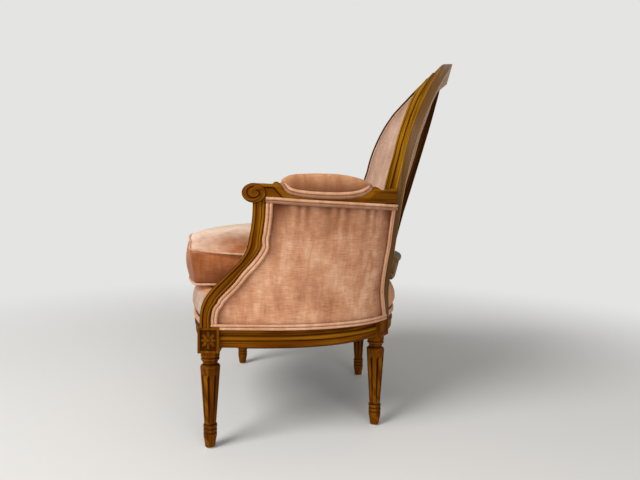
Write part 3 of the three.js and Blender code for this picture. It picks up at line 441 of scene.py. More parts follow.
def wood_finish(name, dark, middle, light, rough, mark="grain_way", wax=0.02, shine=0.02):
    """Stained beech under old wax: fine dark pores and paler streaks along the grain, a cloudy
    stain, brown glazing with painted shade in the grooves, and bead tops lightened to a yellower
    tone, partly worn back and partly painted highlight. The pores are drawn two to three times
    their real width, so that they show."""
    material, shader = new_material(name, Specular_IOR_Level=shine, Coat_Weight=wax,
                                    Coat_Roughness=0.35)
    way = mark_of(material, mark, "Vector") if mark else own_place(material)
    pores = noise(material, way, (9, 420, 420), Detail=5, Roughness=0.62)
    waves = noise(material, way, (5, 60, 60), Detail=3, Distortion=0.8)
    skin = tone_ramp(material, times_plus(material, pores, 0.45, waves),
                     [(0.48, dark), (0.7, middle), (0.95, light)])
    if mark:
        # The hollow mark lays brown glazing and painted shade into grooves, and below nought
        # lightens bead tops, partly wear and partly painted highlight.
        depth = mark_of(material, "hollow")
        proud = add_node(material, "ShaderNodeMath", {"operation": "MULTIPLY", "use_clamp": True},
                         {1: -1.0}, {0: depth})
        skin = laid_over(material, skin, GLAZE_AND_SHADE, depth)
        skin = laid_over(material, skin, RUBBED_AND_HIGHLIGHT, (proud, "Value"))
    join(material, shader, {
        "Base Color": skin, "Normal": raised(material, pores, 0.18, 0.0004),
        "Roughness": carried(material, pores, rough - 0.08, rough + 0.1, 0.3, 0.7)})
    return material


def velvet_finish(name, dark, middle, light, sheen=0.3, boxing=None):
    """Cotton velvet worn soft: the pile lies in cloudy pressed patches and short upright
    strokes, fine weft lines run across, and its edges catch the light. The weft is drawn at
    2 mm, coarser than the real thread, so that it shows. Boxing gives deeper tones where a piece
    is marked, such as the strip between two seams: painted shade. The hollow mark lays painted
    shade over it in a dark tone."""
    material, shader = new_material(name, Roughness=0.94, Sheen_Weight=sheen,
                                    Sheen_Roughness=0.38, Sheen_Tint=colour("#f3d9c8"),
                                    Specular_IOR_Level=0.1)
    way = own_place(material)
    clouds = noise(material, way, Scale=13, Detail=5, Roughness=0.6)
    strokes = noise(material, way, (62, 62, 15), Detail=5, Roughness=0.55, Distortion=0.6)
    weft = noise(material, way, (50, 50, 480), Detail=3)
    nap = times_plus(material, weft, 0.45, times_plus(material, strokes, 0.6, clouds))
    shift = carried(material, nap, 0, 1, 0.68, 1.38)
    spots = (0.12, 0.5, 0.88)
    cover = tone_ramp(material, shift, list(zip(spots, (dark, middle, light))))
    if boxing:
        strip = tone_ramp(material, shift, list(zip(spots, boxing)))
        cover = laid_over(material, cover, strip, mark_of(material, "boxing"))
    # Painted shade: the hollow mark darkens the cloth towards one dark tone.
    cover = laid_over(material, cover, PAINTED_SHADE, mark_of(material, "hollow"))
    join(material, shader, {"Base Color": cover, "Normal": raised(material, nap, 0.4, 0.0008)})
    return material


def woven_finish(name, dark, light, thread_mm):
    """Plain woven cloth: crossing threads a given width apart, darker where they dip."""
    material, shader = new_material(name, Roughness=0.95)
    way = own_place(material)
    threads = {"Scale": 1 / (thread_mm * MM * 3.2), "Distortion": 0.6, "Detail": 2}
    warp, weft = [(add_node(material, "ShaderNodeTexWave", {"bands_direction": axis}, threads,
                            {"Vector": way}), "Fac") for axis in ("X", "Y")]
    weave = (add_node(material, "ShaderNodeMath", {"operation": "MULTIPLY"},
                      links={0: warp, 1: weft}), "Value")
    join(material, shader, {
        "Base Color": tone_ramp(material, weave, [(0.05, dark), (0.6, light)]),
        "Normal": raised(material, weave, 0.5, 0.0005)})
    return material


def metal_finish(name, dark, light, rough):
    """Drawn spring wire: bare grey steel with dull, slightly browned patches."""
    material, shader = new_material(name, Metallic=1.0)
    patches = noise(material, own_place(material), Scale=55, Detail=6)
    join(material, shader, {
        "Base Color": tone_ramp(material, patches, [(0.35, dark), (0.65, light)]),
        "Roughness": carried(material, patches, rough - 0.1, rough + 0.2)})
    return material


def moulded_finish(name, dark, light, rough):
    """Moulded nylon: a pale, slightly scuffed skin."""
    material, shader = new_material(name)
    scuffs = noise(material, own_place(material), Scale=300, Detail=4)
    join(material, shader, {
        "Base Color": tone_ramp(material, scuffs, [(0.35, dark), (0.62, light)]),
        "Roughness": carried(material, scuffs, rough - 0.12, rough + 0.15)})
    return material


# Tones for brown glazing with painted shade in grooves, for bead tops lightened by wear and painted
# highlight, and for painted shade on velvet.
GLAZE_AND_SHADE, RUBBED_AND_HIGHLIGHT, PAINTED_SHADE = "#210900", "#a06c0a", "#64361f"


def rub_shade_and_highlight(share, edge, top=0.3):
    """How a bead's stain lies: dark at its two edges, with painted shade, and lighter along its
    top, partly worn and partly painted highlight.
    """
    return edge * abs(2 * share - 1) ** 6 - top * (1 - (2 * share - 1) ** 2) ** 2


# Turned legs.

def bead_rows(low, high, radius, bulge, steps=9):
    """A turned half-round: rows of [height, radius, glazing and painted shade], dark where it
    meets its neck and lighter along its top.
    """
    shares = np.linspace(0, 1, steps)
    return [[mix(low, high, u), radius + bulge * math.sqrt(max(0, 1 - (2 * u - 1) ** 2)),
             rub_shade_and_highlight(u, 0.9)] for u in shares]


FLUTE_FOOT, FLUTE_HEAD, FLUTES, FLUTE_DEEP, FLUTE_WIDE = 62, 172, 8, 2.8, 5.0
FLUTE_FADE, FLUTE_ROUND, FLUTE_POINTS = 60, 6, 16
SHAFT_FOOT, SHAFT_HEAD = 60, 186


def leg_rows():
    """The turning from the glide to the block: a bulb foot and ankle rings, the tapering shaft
    with its rounded shoulder, a narrow neck under two rings, and a plain band."""
    rows = [[2.8, 9.6, 0.3], [3.4, 11.0, 0], [4.4, 11.4, 0], [12, 12.2, 0], [20, 13.6, 0],
            [27, 14.9, 0], [33, 15.2, 0], [35.4, 14.8, 0.2], [36.2, 13.8, 1]]
    rows += bead_rows(36.6, 45.4, 13.4, 2.0) + bead_rows(46.2, 55.6, 13.6, 2.0)
    rows += [[56.4, 13.0, 1], [58, 13.3, 0.4]]
    rows += [[z, mix(13.5, 22.0, (z - SHAFT_FOOT) / (SHAFT_HEAD - SHAFT_FOOT)), 0]
             for z in np.linspace(SHAFT_FOOT, SHAFT_HEAD - 2, 48)]
    rows += [[184.8, 21.5, 0.5], [185.6, 22.0, 0], [188, 22.2, -0.3], [190.2, 21.4, -0.2],
             [192, 19.8, 0], [193.4, 17.6, 0.4], [194.3, 15.8, 0.9], [195.6, 15.2, 0.6],
             [197, 15.3, 0.9]]
    rows += bead_rows(197.4, 202.2, 15.3, 1.9) + bead_rows(202.6, 209.8, 17.4, 3.3)
    rows += [[210.4, 17.5, 1], [211.4, 20.2, 0.3], [212.4, 20.9, 0], [222.6, 20.9, 0],
             [223.4, 20.0, 0.6], [225.5, 19.4, 1]]
    return np.array(rows, float)


def turned_leg(top, centre, turn, rake):
    """Rings of a fluted leg; a taller one is longer in its shaft only, and a raked one's foot
    slips back. The flutes fade towards the foot and are rounded off at the head."""
    sides = FLUTE_POINTS * FLUTES
    angles = turn + 2 * math.pi * np.arange(sides) / sides
    from_flute = np.abs((np.arange(sides) / FLUTE_POINTS + 0.5) % 1 - 0.5) * 2 * math.pi / FLUTES
    rings, glaze_and_shade = [], []
    for z, radius, dark in leg_rows():
        run = (np.clip((z - FLUTE_FOOT) / FLUTE_FADE, 0, 1)
               * np.clip((FLUTE_HEAD - z) / FLUTE_ROUND, 0, 1) ** 0.5)
        half = FLUTE_WIDE / 2 * (0.35 + 0.65 * run)
        sunk = np.sqrt(np.clip(1 - (from_flute * radius / half) ** 2, 0, 1))
        sunk = sunk * (FLUTE_FOOT < z < FLUTE_HEAD)
        reach = radius - sunk * FLUTE_DEEP * run ** 0.5
        up_shaft = float(np.clip((z - SHAFT_FOOT) / (SHAFT_HEAD - SHAFT_FOOT), 0, 1))
        lift = (top - FRONT_LEG_TOP) * up_shaft
        slip = rake * (1 - z / top)
        rings.append(np.stack([centre[0] + reach * np.cos(angles),
                               centre[1] + slip + reach * np.sin(angles),
                               np.full(sides, z + lift)], 1))
        # The flutes darken with their depth: glazing and painted shade.
        glaze_and_shade.append(np.maximum(dark, sunk ** 0.7))
    return np.array(rings), np.array(glaze_and_shade)


# Leg blocks, carved on the faces that show.

def plain_face(u, v, half_u, half_v):
    return np.zeros_like(u), np.zeros_like(u)


PANEL_INSET = 7.5


def panelled_face(u, v, half_u, half_v):
    """A sunk rectangle with a small step round it, dark at its steps with glazing and painted
    shade.
    """
    inside = np.minimum(half_u - PANEL_INSET - np.abs(u), half_v - PANEL_INSET - np.abs(v))
    sunk = -1.2 * np.clip(inside / 0.8, 0, 1) - 1.3 * np.clip((inside - 2.2) / 1.2, 0, 1)
    dark = 0.85 * np.exp(-(inside / 0.9) ** 2) + 0.7 * np.exp(-((inside - 3.2) / 0.9) ** 2)
    return sunk, np.clip(dark, 0, 1)


BORDER, LEAF_END, LEAF_HALF, BUTTON, GROUND_DEEP = 5.2, 6.4, 4.0, 4.4, 2.6


def rosette_face(u, v, half_u, half_v):
    """Eight leaves and a button on a punched ground, inside a flat border; the ground, the
    leaves' creases and the button's ring are dark with glazing and painted shade.
    """
    inside = np.minimum(half_u - BORDER - np.abs(u), half_v - BORDER - np.abs(v))
    ground = -GROUND_DEEP * np.clip(inside / 1.1, 0, 1)
    punched = np.sin(u * 1.7) * np.sin(v * 1.7)
    height = ground + 0.5 * punched * (inside > 1.5)
    dark = np.where(inside > 0.2, 0.78 - 0.22 * punched, 0)
    tall = (half_v - LEAF_END) / (half_u - LEAF_END)
    for k in range(8):
        angle = k * math.pi / 4
        stretch = tall if k % 4 == 2 else 1
        along = u * math.cos(angle) + v * math.sin(angle) / (tall if k % 2 else 1)
        across = v * math.cos(angle) - u * math.sin(angle)
        length = (half_u - LEAF_END - 0.2) * (stretch if k % 2 == 0 else 1.02)
        t = (along / length - 0.16) / 0.84
        half = LEAF_HALF * np.sin(np.pi * np.clip(t, 0, 1)) ** 0.75
        near = np.clip(1 - (across / np.maximum(half, 0.05)) ** 2, 0, 1) * (t > 0) * (t < 1)
        crease = 0.9 * np.exp(-(across / 0.5) ** 2)
        leaf = -2.2 + 2.5 * np.sqrt(near) - crease * (near > 0)
        height = np.where(near > 0, np.maximum(height, leaf), height)
        dark = np.where(near > 0, np.minimum(dark, 0.75 * (1 - near) ** 2 + 0.5 * crease), dark)
    far = np.hypot(u, v)
    button = np.clip(1 - (far / BUTTON) ** 2, 0, 1)
    height = np.where(far < BUTTON, -1.2 + 2.2 * np.sqrt(button), height)
    dark = np.where(far < BUTTON + 0.8, np.where(far < BUTTON - 0.2, 0, 0.95), dark)
    return height, dark


# The block's arris: how far it is eased, and how wide.
EASED, ARRIS, BESIDE = 0.6, 0.7, 1.6


def leg_block(low, high, centre, turn, faces):
    """Rings up a square block; faces are the carvings on its +X, +Y, -X and -Y sides."""
    half_u, half_v = BLOCK / 2, (high - low) / 2
    across = np.concatenate([[-half_u, -half_u + ARRIS],
                             np.linspace(-half_u + BESIDE, half_u - BESIDE, 50),
                             [half_u - ARRIS]])
    heights = np.concatenate([[low, low + ARRIS], np.linspace(low + BESIDE, high - BESIDE, 56),
                              [high - ARRIS, high]])
    rings, glaze_and_shade = [], []
    for z in heights:
        spots, tones = [], []
        edge = EASED * (z in (low, high))
        for k, face in enumerate(faces):
            v = np.full_like(across, z - (low + high) / 2)
            height, dark = face(across, v, half_u, half_v)
            height = height - edge - EASED * (np.abs(across) == half_u)
            angle = turn + k * math.pi / 2
            out = np.array([math.cos(angle), math.sin(angle)])
            side = np.array([-out[1], out[0]])
            spots.append(centre + (half_u + height)[:, None] * out + across[:, None] * side)
            tones.append(dark)
        rings.append(at_level(np.concatenate(spots), z))
        glaze_and_shade.append(np.concatenate(tones))
    return np.array(rings), np.array(glaze_and_shade)


def add_leg(name, top, centre, turn, faces, finish, rake=0):
    """A pair of turned legs and the carved blocks that they end in."""
    rings, glaze_and_shade = turned_leg(top, centre, turn, rake)
    for side, turning in add_both(name + "_turning_{}", rings, finish, "frame_wood",
                                  hollow=glaze_and_shade):
        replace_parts(turning, f"{name}_{side}")
    rings, glaze_and_shade = leg_block(top, RAIL_TOP, centre, turn, faces)
    add_both(name + "_block_{}", rings, finish, "frame_wood", hollow=glaze_and_shade, sharp=50)


# Mouldings.

def banded(bands, groove=1.3, steps=8):
    """A moulded face as rows of [share along, height, glazing and painted shade]: each band is
    [width, level, crown], a crown being a bead, lighter along its top as wear and painted
    highlight, and a negative one a hollow, with a dark line between two of glazing and painted
    shade."""
    total = sum(wide for wide, _, _ in bands)
    rows, at = [], 0
    for i, (wide, level, crown) in enumerate(bands):
        share = wide / total
        for u in np.linspace(0, 1, steps):
            rows.append([at + share * (0.08 + 0.84 * u), level + crown * math.sin(math.pi * u),
                         rub_shade_and_highlight(u, 0.5, 0.4) if crown > 0.5 else 0.12 * (crown < -0.9)])
        at += share
        if i < len(bands) - 1:
            rows.append([at, min(level, bands[i + 1][1]) - groove, 1])
    return np.array(rows)


RAIL_BANDS = [[15.4, 0, 0.5], [12, 0.4, 2.2], [6, -0.6, -1.2], [5.4, 0, 0.2], [8, -1, 0]]


def rail_section():
    """Rows of [outward, height] round a seat rail, and how dark the glazing and painted shade
    lie on each.
    """
    rows = banded(RAIL_BANDS, groove=2.2)
    face = np.column_stack([rows[:, 1], mix(RAIL_BOTTOM, RAIL_TOP, rows[:, 0])])
    ring = np.vstack([[[-RAIL_THICK, RAIL_BOTTOM], [-4, RAIL_BOTTOM], [-0.8, RAIL_BOTTOM + 0.3]],
                      face, [[-1, RAIL_TOP], [-RAIL_THICK, RAIL_TOP]]])
    glaze_and_shade = np.concatenate([[0.3, 0.3, 0.1], rows[:, 2], [0.5, 0.3]])
    return ring, glaze_and_shade


def add_rails(finish):
    """The seat rails, each let a little into the blocks at its ends."""
    section, glaze_and_shade = rail_section()
    into = BLOCK / 2 - 2.5
    rings = SEAT_PATH.sweep(into, REAR_RUN - into, 60, section)
    for side, rail in add_both("seat_rail_{}", rings, finish, "frame_wood", hollow=glaze_and_shade):
        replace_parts(rail, f"side_rail_{side}")
    rear = REAR_PATH.sweep(REAR_RUN + into, REAR_PATH.length - REAR_RUN - into, 50, section)
    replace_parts(add_loft("seat_rail_rear", rear, finish, "frame_wood", hollow=glaze_and_shade), "rear_rail")
    front = FRONT_PATH.sweep(into, FRONT_PATH.length - into, 60, section)
    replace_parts(add_loft("seat_rail_front", front, finish, "frame_wood", hollow=glaze_and_shade),
                "front_rail")


# The moulded back frame, in one run from the left block over the crest to the right.

BACK_BANDS = [[6, 0, 1.5], [16, -1.4, -2.0], [7, 0.4, 1.6], [8, -1.0, 0.2], [7, 0, 1.5]]
FACE_SHARE = 0.72
# At each height of the frame's outer edge: how far forward the flat outer face and the moulding
# reach, how far the rear face slants forward to its rebate, and how deep the outside back lies.
BACK_HEIGHTS = [540, 600, 640, 685, 725, 755, 790, 825, 870, 908, 940]
FLAT_DEEP = [20, 18, 16.5, 18, 19.5, 20, 20.5, 22, 21, 22, 24]
FACE_DEEP = [45, 48.5, 51.5, 55, 58.5, 61, 64.5, 67.5, 68, 61, 57]
REAR_SLANT = [0, 0, 0, 1.5, 4, 5, 8, 12, 13, 0, 0]
PANEL_DEEP = [23, 20, 18.5, 17, 16, 15, 14.5, 14.5, 14.5, 15, 15]
# The frame section's first rows are its rear face, and its moulding's rows follow the inner ones.
REAR_ROWS, INNER_ROWS = 4, 8
# The rebate that holds the outside back.
REBATE_WIDE, REBATE_DEEP = 10, 22


def at_height(spot, sizes):
    """A size from a row that goes with BACK_HEIGHTS, at a place on the frame."""
    return float(np.interp(spot[0][2], BACK_HEIGHTS, sizes))


def face_edge(spot):
    """Where the moulding meets the stuffing, as [inward, forward]."""
    return FACE_SHARE * spot[3], at_height(spot, FACE_DEEP)


def frame_section(spot):
    """Rows of [inward, forward] round the frame, and how dark the glazing and painted shade lie
    on each. The flat outer face ends in a slanting moulded face that runs in to the stuffing."""
    wide = spot[3]
    flat, slant = at_height(spot, FLAT_DEEP), at_height(spot, REAR_SLANT)
    inner, deep = face_edge(spot)
    rows = banded(BACK_BANDS, groove=1.8)
    way = unit(np.array([inner - 1, deep - flat]))
    front = (np.array([0.5, flat]) + np.outer(rows[:, 0], [inner - 1, deep - flat])
             + np.outer(rows[:, 1], [-way[1], way[0]]))[::-1]
    rebate = wide - REBATE_WIDE
    rear = [[0, 1.2], [1.2, 0], [rebate / 2, slant / 2], [rebate - 1, slant],
            [rebate, slant + 1], [rebate, REBATE_DEEP], [wide, REBATE_DEEP],
            [wide, STILE_DEEP - 8], [inner + 1, deep - 5]]
    edge = [[0.1, flat - 1.2], [0, flat - 3], [0, flat / 2]]
    glaze_and_shade = np.concatenate([[0, -0.1, 0, 0.1, 0.3, 0.9, 0.9, 0.8, 0.9], rows[::-1, 2],
                            [0.1, 0, 0]])
    return np.vstack([rear, front, edge]), glaze_and_shade


def back_frames(low, stile_steps=60, arch_steps=110):
    """Places up the left stile from a height, over the arch and down the right stile."""
    stiles = [stile_frame(z) for z in np.linspace(low, SPRING_Z, stile_steps)]
    arch = [arch_frame(a) for a in np.linspace(0, math.pi, arch_steps)[1:-1]]
    return stiles + arch + [mirror_frame(spot) for spot in stiles[::-1]]


def add_back_frame(finish, polish_and_reflection, rear_sheen):
    """The frame in one run: its moulding, its waxed outer face, greyed by painted reflection,
    and its rear face, paled by painted sheen.
    """
    frames = back_frames(RAIL_TOP - 1)
    rings = [placed(spot, frame_section(spot)[0]) for spot in frames]
    piece = add_loft("back_frame", rings, finish, "frame_wood",
                     hollow=frame_section(frames[0])[1])
    piece.data.materials.append(polish_and_reflection)
    piece.data.materials.append(rear_sheen)
    kind = np.ones(len(rings[0]), int)
    kind[:REAR_ROWS] = 2
    kind[INNER_ROWS:INNER_ROWS + len(banded(BACK_BANDS))] = 0
    kinds = np.zeros(len(piece.data.polygons), int)
    kinds[:(len(rings) - 1) * len(kind)] = np.tile(kind, len(rings) - 1)
    piece.data.polygons.foreach_set("material_index", kinds.tolist())
    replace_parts(piece, "crest_rail")


# Arm posts.

POST_CURVE = np.array([
    [-0.2, 0], [-0.19, 0.1], [-0.13, 0.2], [0.02, 0.29], [0.32, 0.43], [0.6, 0.53], [0.8, 0.63],
    [0.9, 0.75], [0.955, 0.88], [0.97, 1]])
POST_WIDE, POST_THICK = 25, 28


def spline(points, share):
    """A smooth curve through points, and its direction, at a share of its length in points."""
    place = share * (len(points) - 1)
    i = min(int(place), len(points) - 2)
    u = place - i
    here, there = points[i], points[i + 1]
    leave = (there - points[max(i - 1, 0)]) / 2
    arrive = (points[min(i + 2, len(points) - 1)] - here) / 2
    cube = 2 * here - 2 * there + leave + arrive
    square = -3 * here + 3 * there - 2 * leave - arrive
    return (cube * u ** 3 + square * u ** 2 + leave * u + here,
            3 * cube * u ** 2 + 2 * square * u + leave)


# The carved S is tighter than the frame's plain post: at each height, how far back its front
# and rear edges are moved.
CARVED = np.array([[281, 0, -2], [325, 0, -4.5], [343, 0, -7], [361, 0.5, -1.5], [377, 2.5, 3.4],
                   [392, 8.5, 4], [410, 11.5, 2.5], [428, 8.7, 0.5], [454, 4.2, -0.5],
                   [480, 1.5, -0.5], [508, 1, 1.5], [530, 0.5, 3], [561, 0, 3]])


def post_edges():
    """Rows of [height, front edge, rear edge] up the post, wider across where it slopes."""
    rows = []
    for share in np.linspace(0, 1, 241):
        at, way = spline(POST_CURVE, share)
        front = at[0] * ARM_FRONT
        spread = min(1.45, 1 / max(0.5, way[1] / max(np.hypot(*way), 1e-6)))
        rows.append([mix(OPEN_LOW, OPEN_HIGH, at[1]), front, front + POST_WIDE * spread])
    rows = np.array(rows)
    for edge in (1, 2):
        moved = read(CARVED, rows[:, 0], edge)
        rows[:, edge] += smoothed(moved[:, None], 30, closed=False)[:, 0]
    return rows


POST_EDGES = post_edges()


def post_rear(z):
    return float(read(POST_EDGES, z, 2)) + GAP


def add_posts(finish):
    """Posts with a bead down each edge of a hollow outer face."""
    bands = banded([[6.6, 0.3, 1.2], [11.4, -0.9, -0.8], [6.6, 0.3, 1.2]], groove=1.8)
    outer = LEG_SPREAD + BLOCK / 2 - GAP
    inner = outer - POST_THICK
    glaze_and_shade = np.concatenate([[0.2, 0.2, 0.1], bands[:, 2], [0.1, 0.2, 0.2]])
    rings = []
    for z, front, rear in POST_EDGES[::3]:
        face = np.column_stack([outer + bands[:, 1], mix(front + 0.8, rear - 0.8, bands[:, 0])])
        ring = np.vstack([[[inner, front], [mix(inner, outer, 0.5), front],
                           [outer - 1.0, front]], face,
                          [[outer - 1.0, rear], [mix(inner, outer, 0.5), rear], [inner, rear]]])
        rings.append(at_level(ring, z))
    for side, post in add_both("arm_post_{}_moulded", rings, finish, "frame_wood",
                               hollow=glaze_and_shade):
        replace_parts(post, f"arm_post_{side}")


# Arm rails, with the saddle that carries the pad, and the scrolls.

ARM_TRACK = np.array([
    [98, 598], [118, 598], [135, 597.4], [138.4, 597.8], [140, 600.4], [143, 602], [146, 602.4],
    [149.5, 601.8], [152.6, 599.4], [155, 596.5], [160, 590], [168, 583], [178, 577],
    [190, 574], [205, 572.1], [250.4, 569.7], [286.1, 569.8], [315.1, 572.4], [333, 576.6],
    [343.6, 581.3], [352.1, 587.1], [357.5, 591.7], [361.8, 595.4], [366.1, 596.4],
    [370.5, 595.5], [374.9, 593], [381.4, 589.2], [389.2, 587.5], [398.1, 590.3], [408.3, 594],
    [416.2, 594.7], [432.5, 595]])
ARM_END = FOOT_REACH - STILE_DEEP - 4
SCROLL_Z, SCROLL_HALF, SCROLL_TALL = 577.5, 25.9, 21.2
SCROLL_PROUD = 1.8
# The scroll's spiral line: its run in degrees, and its width as a share of the scroll.
SPIRAL_START, SPIRAL_END, SPIRAL_WIDE, SPIRAL_DEEP = 92, 412, 0.055, 1.5
RIM_START, RIM_DEEP = 0.93, 1.6
# Where the rail's sunk field ends under the pad.
FIELD_END, FIELD_FADE, FIELD_DEEP = 160, 20, 1.5
ARM_LINE = np.array([[98, 589.5], [138, 589.5], [141, 588.6], [156, 571.3], [164, 564],
                     [334, 564], [350, 568], [365, 583], [388, 589], [430, 586]])


def arm_section(y):
    """The rail's section where it passes y: a sunk field under a line that falls from the
    scroll to the pad's welt. Behind the pad the face is plain."""
    top, line = float(read(ARM_TRACK, y)), float(read(ARM_LINE, y))
    cut = 1 - float(ease((y - FIELD_END) / FIELD_FADE))
    field = -FIELD_DEEP * cut
    rows = [[-ARM_WIDE + 1, ARM_BOTTOM, 0.2], [-1.2, ARM_BOTTOM, 0.3],
            [-0.2, ARM_BOTTOM + 0.8, 0.2]]
    for u in np.linspace(0.06, 0.97, 8):
        rows.append([field * float(ease(min(u, 0.25) * 4)), mix(ARM_BOTTOM, line - 1.4, u),
                     mix(0.4, 0.15, cut)])
    rows += [[field - cut, line - 1.1, cut], [field - 1.2 * cut, line - 0.4, cut],
             [-0.9 * cut, line + 0.5, cut]]
    for u in np.linspace(0.12, 0.9, 6):
        rows.append([1.1 * math.sin(math.pi * u) - 0.3, mix(line, top, u), rub_shade_and_highlight(u, 0.1)])
    rows += [[-1.0, top - 0.1, 0.1], [-3, top + 0.3, 0], [-ARM_WIDE / 2, top + 0.8, 0],
             [-ARM_WIDE + 3, top + 0.3, 0], [-ARM_WIDE + 1, top - 0.8, 0.1],
             [-ARM_WIDE, top - 3, 0.1], [-ARM_WIDE, ARM_BOTTOM + 2, 0.2]]
    return np.array(rows)


def scroll_rings():
    """A drum across the arm; each end has a spiral line cut in it that runs on from the arm's."""
    turns = np.array([[90, 0.63], [135, 0.6], [180, 0.55], [225, 0.52], [270, 0.5], [315, 0.5],
                      [360, 0.51], [390, 0.45], [412, 0.34]])
    angles = np.linspace(0, 2 * math.pi, 97)[:-1]
    reaches = np.concatenate([np.linspace(0.02, 0.9, 40), [0.94, 0.97, 0.99, 1]])
    rings, glaze_and_shade = [], []
    for side, x, order in ((-1, ARM_HALF - ARM_WIDE - SCROLL_PROUD, reaches),
                           (1, ARM_HALF + SCROLL_PROUD, reaches[::-1])):
        for reach in order:
            cut = np.zeros_like(angles)
            for lap in (0, 360):
                place = np.degrees(angles) + lap
                on = (place >= SPIRAL_START) & (place <= SPIRAL_END)
                away = (reach - read(turns, place)) / SPIRAL_WIDE
                cut = np.maximum(cut, on * np.exp(-away ** 2))
            rim = RIM_DEEP * np.clip((reach - RIM_START) / (1 - RIM_START), 0, 1) ** 2
            rings.append(np.stack([
                x - side * (SPIRAL_DEEP * cut + rim),
                ARM_FRONT - reach * SCROLL_HALF * np.cos(angles + math.pi),
                SCROLL_Z + reach * SCROLL_TALL * np.sin(angles)], 1))
            # The spiral line and the rim are dark with glazing and painted shade.
            glaze_and_shade.append(np.clip(np.maximum(cut ** 0.6, 0.8 * (reach > 0.96)), 0, 1))
    return np.array(rings), np.array(glaze_and_shade)


def add_arms(finish):
    """The arm rails, closely drawn where they carve down to the pad and up behind it, and their
    scrolls."""
    start, end = ARM_PATH.run_at(ARM_FRONT), ARM_PATH.run_at(ARM_END)
    runs = np.concatenate([np.linspace(start, ARM_PATH.run_at(205), 110),
                           np.linspace(ARM_PATH.run_at(207), ARM_PATH.run_at(330), 30),
                           np.linspace(ARM_PATH.run_at(332), end, 60)])
    rings, glaze_and_shade = [], []
    for run in runs:
        spot, side = ARM_PATH.at(run)
        rows = arm_section(float(spot[1]))
        rings.append(np.column_stack([spot + side * rows[:, :1], rows[:, 1]]))
        glaze_and_shade.append(rows[:, 2])
    for side, arm in add_both("arm_{}", rings, finish, "frame_wood", hollow=glaze_and_shade):
        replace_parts(arm, f"arm_rail_{side}")
    rings, glaze_and_shade = scroll_rings()
    add_both("scroll_{}", rings, finish, "frame_wood", hollow=glaze_and_shade)


# Cords and double welts.

CORD_STEPS = 11
# Painted shade on the double welts: in the valley between the two cords and at the cloth's tucked
# edges; UNDER_SHADE also darkens the lower cord, which faces down.
CORD_PAINTED_SHADE = np.concatenate([[1], *[np.abs(np.linspace(-1, 1, CORD_STEPS)) ** 5] * 2, [1]])
UNDER_SHADE = np.concatenate([[1], *[np.full(CORD_STEPS, v) for v in (0, 0.6)], [1]])


def twin_cord(wide, tall):
    """The section of a double welt: two cords side by side under one cloth, [across, out]."""
    angles = np.linspace(math.pi, 0, CORD_STEPS)
    rows = [[0, -1.5]]
    for middle in (0.25, 0.75):
        rows += [[wide * (middle + 0.25 * math.cos(a)), tall * (0.02 + 0.98 * math.sin(a))]
                 for a in angles]
    return np.array(rows + [[wide, -1.5]])


def round_cord(points, outward, radius, steps=12):
    """Rings of a round cord along points, with the level way out from them given at each."""
    angles = np.arange(steps)[:, None] * 2 * math.pi / steps
    return [spot + out * (radius * np.cos(angles)) + (0, 0, 1) * (radius * np.sin(angles))
            for spot, out in zip(points, outward)]


def evenly(points, count):
    """The same closed line in plan, with its points evenly spaced."""
    points = np.vstack([points, points[:1]])
    runs = distances(points)
    places = np.linspace(0, runs[-1], count + 1)[:-1]
    return np.stack([np.interp(places, runs, points[:, i]) for i in (0, 1)], 1)


def side_ways(points):
    """The direction square to a closed line at each of its points."""
    return quarter_turn(unit(np.roll(points, -1, 0) - np.roll(points, 1, 0)))


# Side upholstery.

# At each height, how far forward of the stile's edge the cover ends.
COVER_END = np.array([[300, 23], [345, 23], [385, 21.5], [438, 18], [463, 15.5], [561, 14]])


def panel_end(z):
    """Where the cover meets the stile."""
    edge, _, back, _ = stile_frame(z)
    return edge - back * float(read(COVER_END, z))


def cover_rear(z):
    """How far back the cover reaches."""
    return float(panel_end(z)[1])


def side_point(y, z, out):
    """A point on the side, from the seat curve below to the arm curve above, out from it."""
    front, end = post_rear(z), panel_end(z)
    along = (y - front) / (end[1] - front)
    rise = float(ease((z - OPEN_LOW) / (OPEN_HIGH - OPEN_LOW)))

    def lean(depth):
        across = mix(curve_x(depth, SEAT_HALF, SEAT_REACH),
                     curve_x(depth, ARM_HALF, ARM_REACH) - 2.5, rise)
        at_end = mix(curve_x(end[1], SEAT_HALF, SEAT_REACH),
                     curve_x(end[1], ARM_HALF, ARM_REACH) - 2.5, rise)
        return float(across + max(along, 0) ** 3 * (end[0] - at_end))
    slope = (lean(y + 4) - lean(y - 4)) / 8
    size = math.hypot(1, slope)
    return np.array([lean(y) + out / size, y - out * slope / size, z])


PANEL_SWELL, PANEL_BACK = 4.5, 8


def side_swell(along, z):
    """How full the side cover is, from nought at its edges to one at its middle."""
    up = np.clip((z - OPEN_LOW) / (OPEN_HIGH - OPEN_LOW), 0, 1)
    return math.sin(math.pi * min(max(along, 0), 1)) ** 0.7 * math.sin(math.pi * up) ** 0.7


def panel_crease(y, z):
    """Shallow drawn folds under the arm, where the cover is pulled to its tacks."""
    near = np.clip((z - 470) / 80, 0, 1) * np.clip((OPEN_HIGH - 4 - z) / 12, 0, 1)
    return 0.7 * near * math.sin(y / 9.5 + 1.3 * math.sin(z / 23)) * (0.5 + 0.5 * math.sin(y / 41))


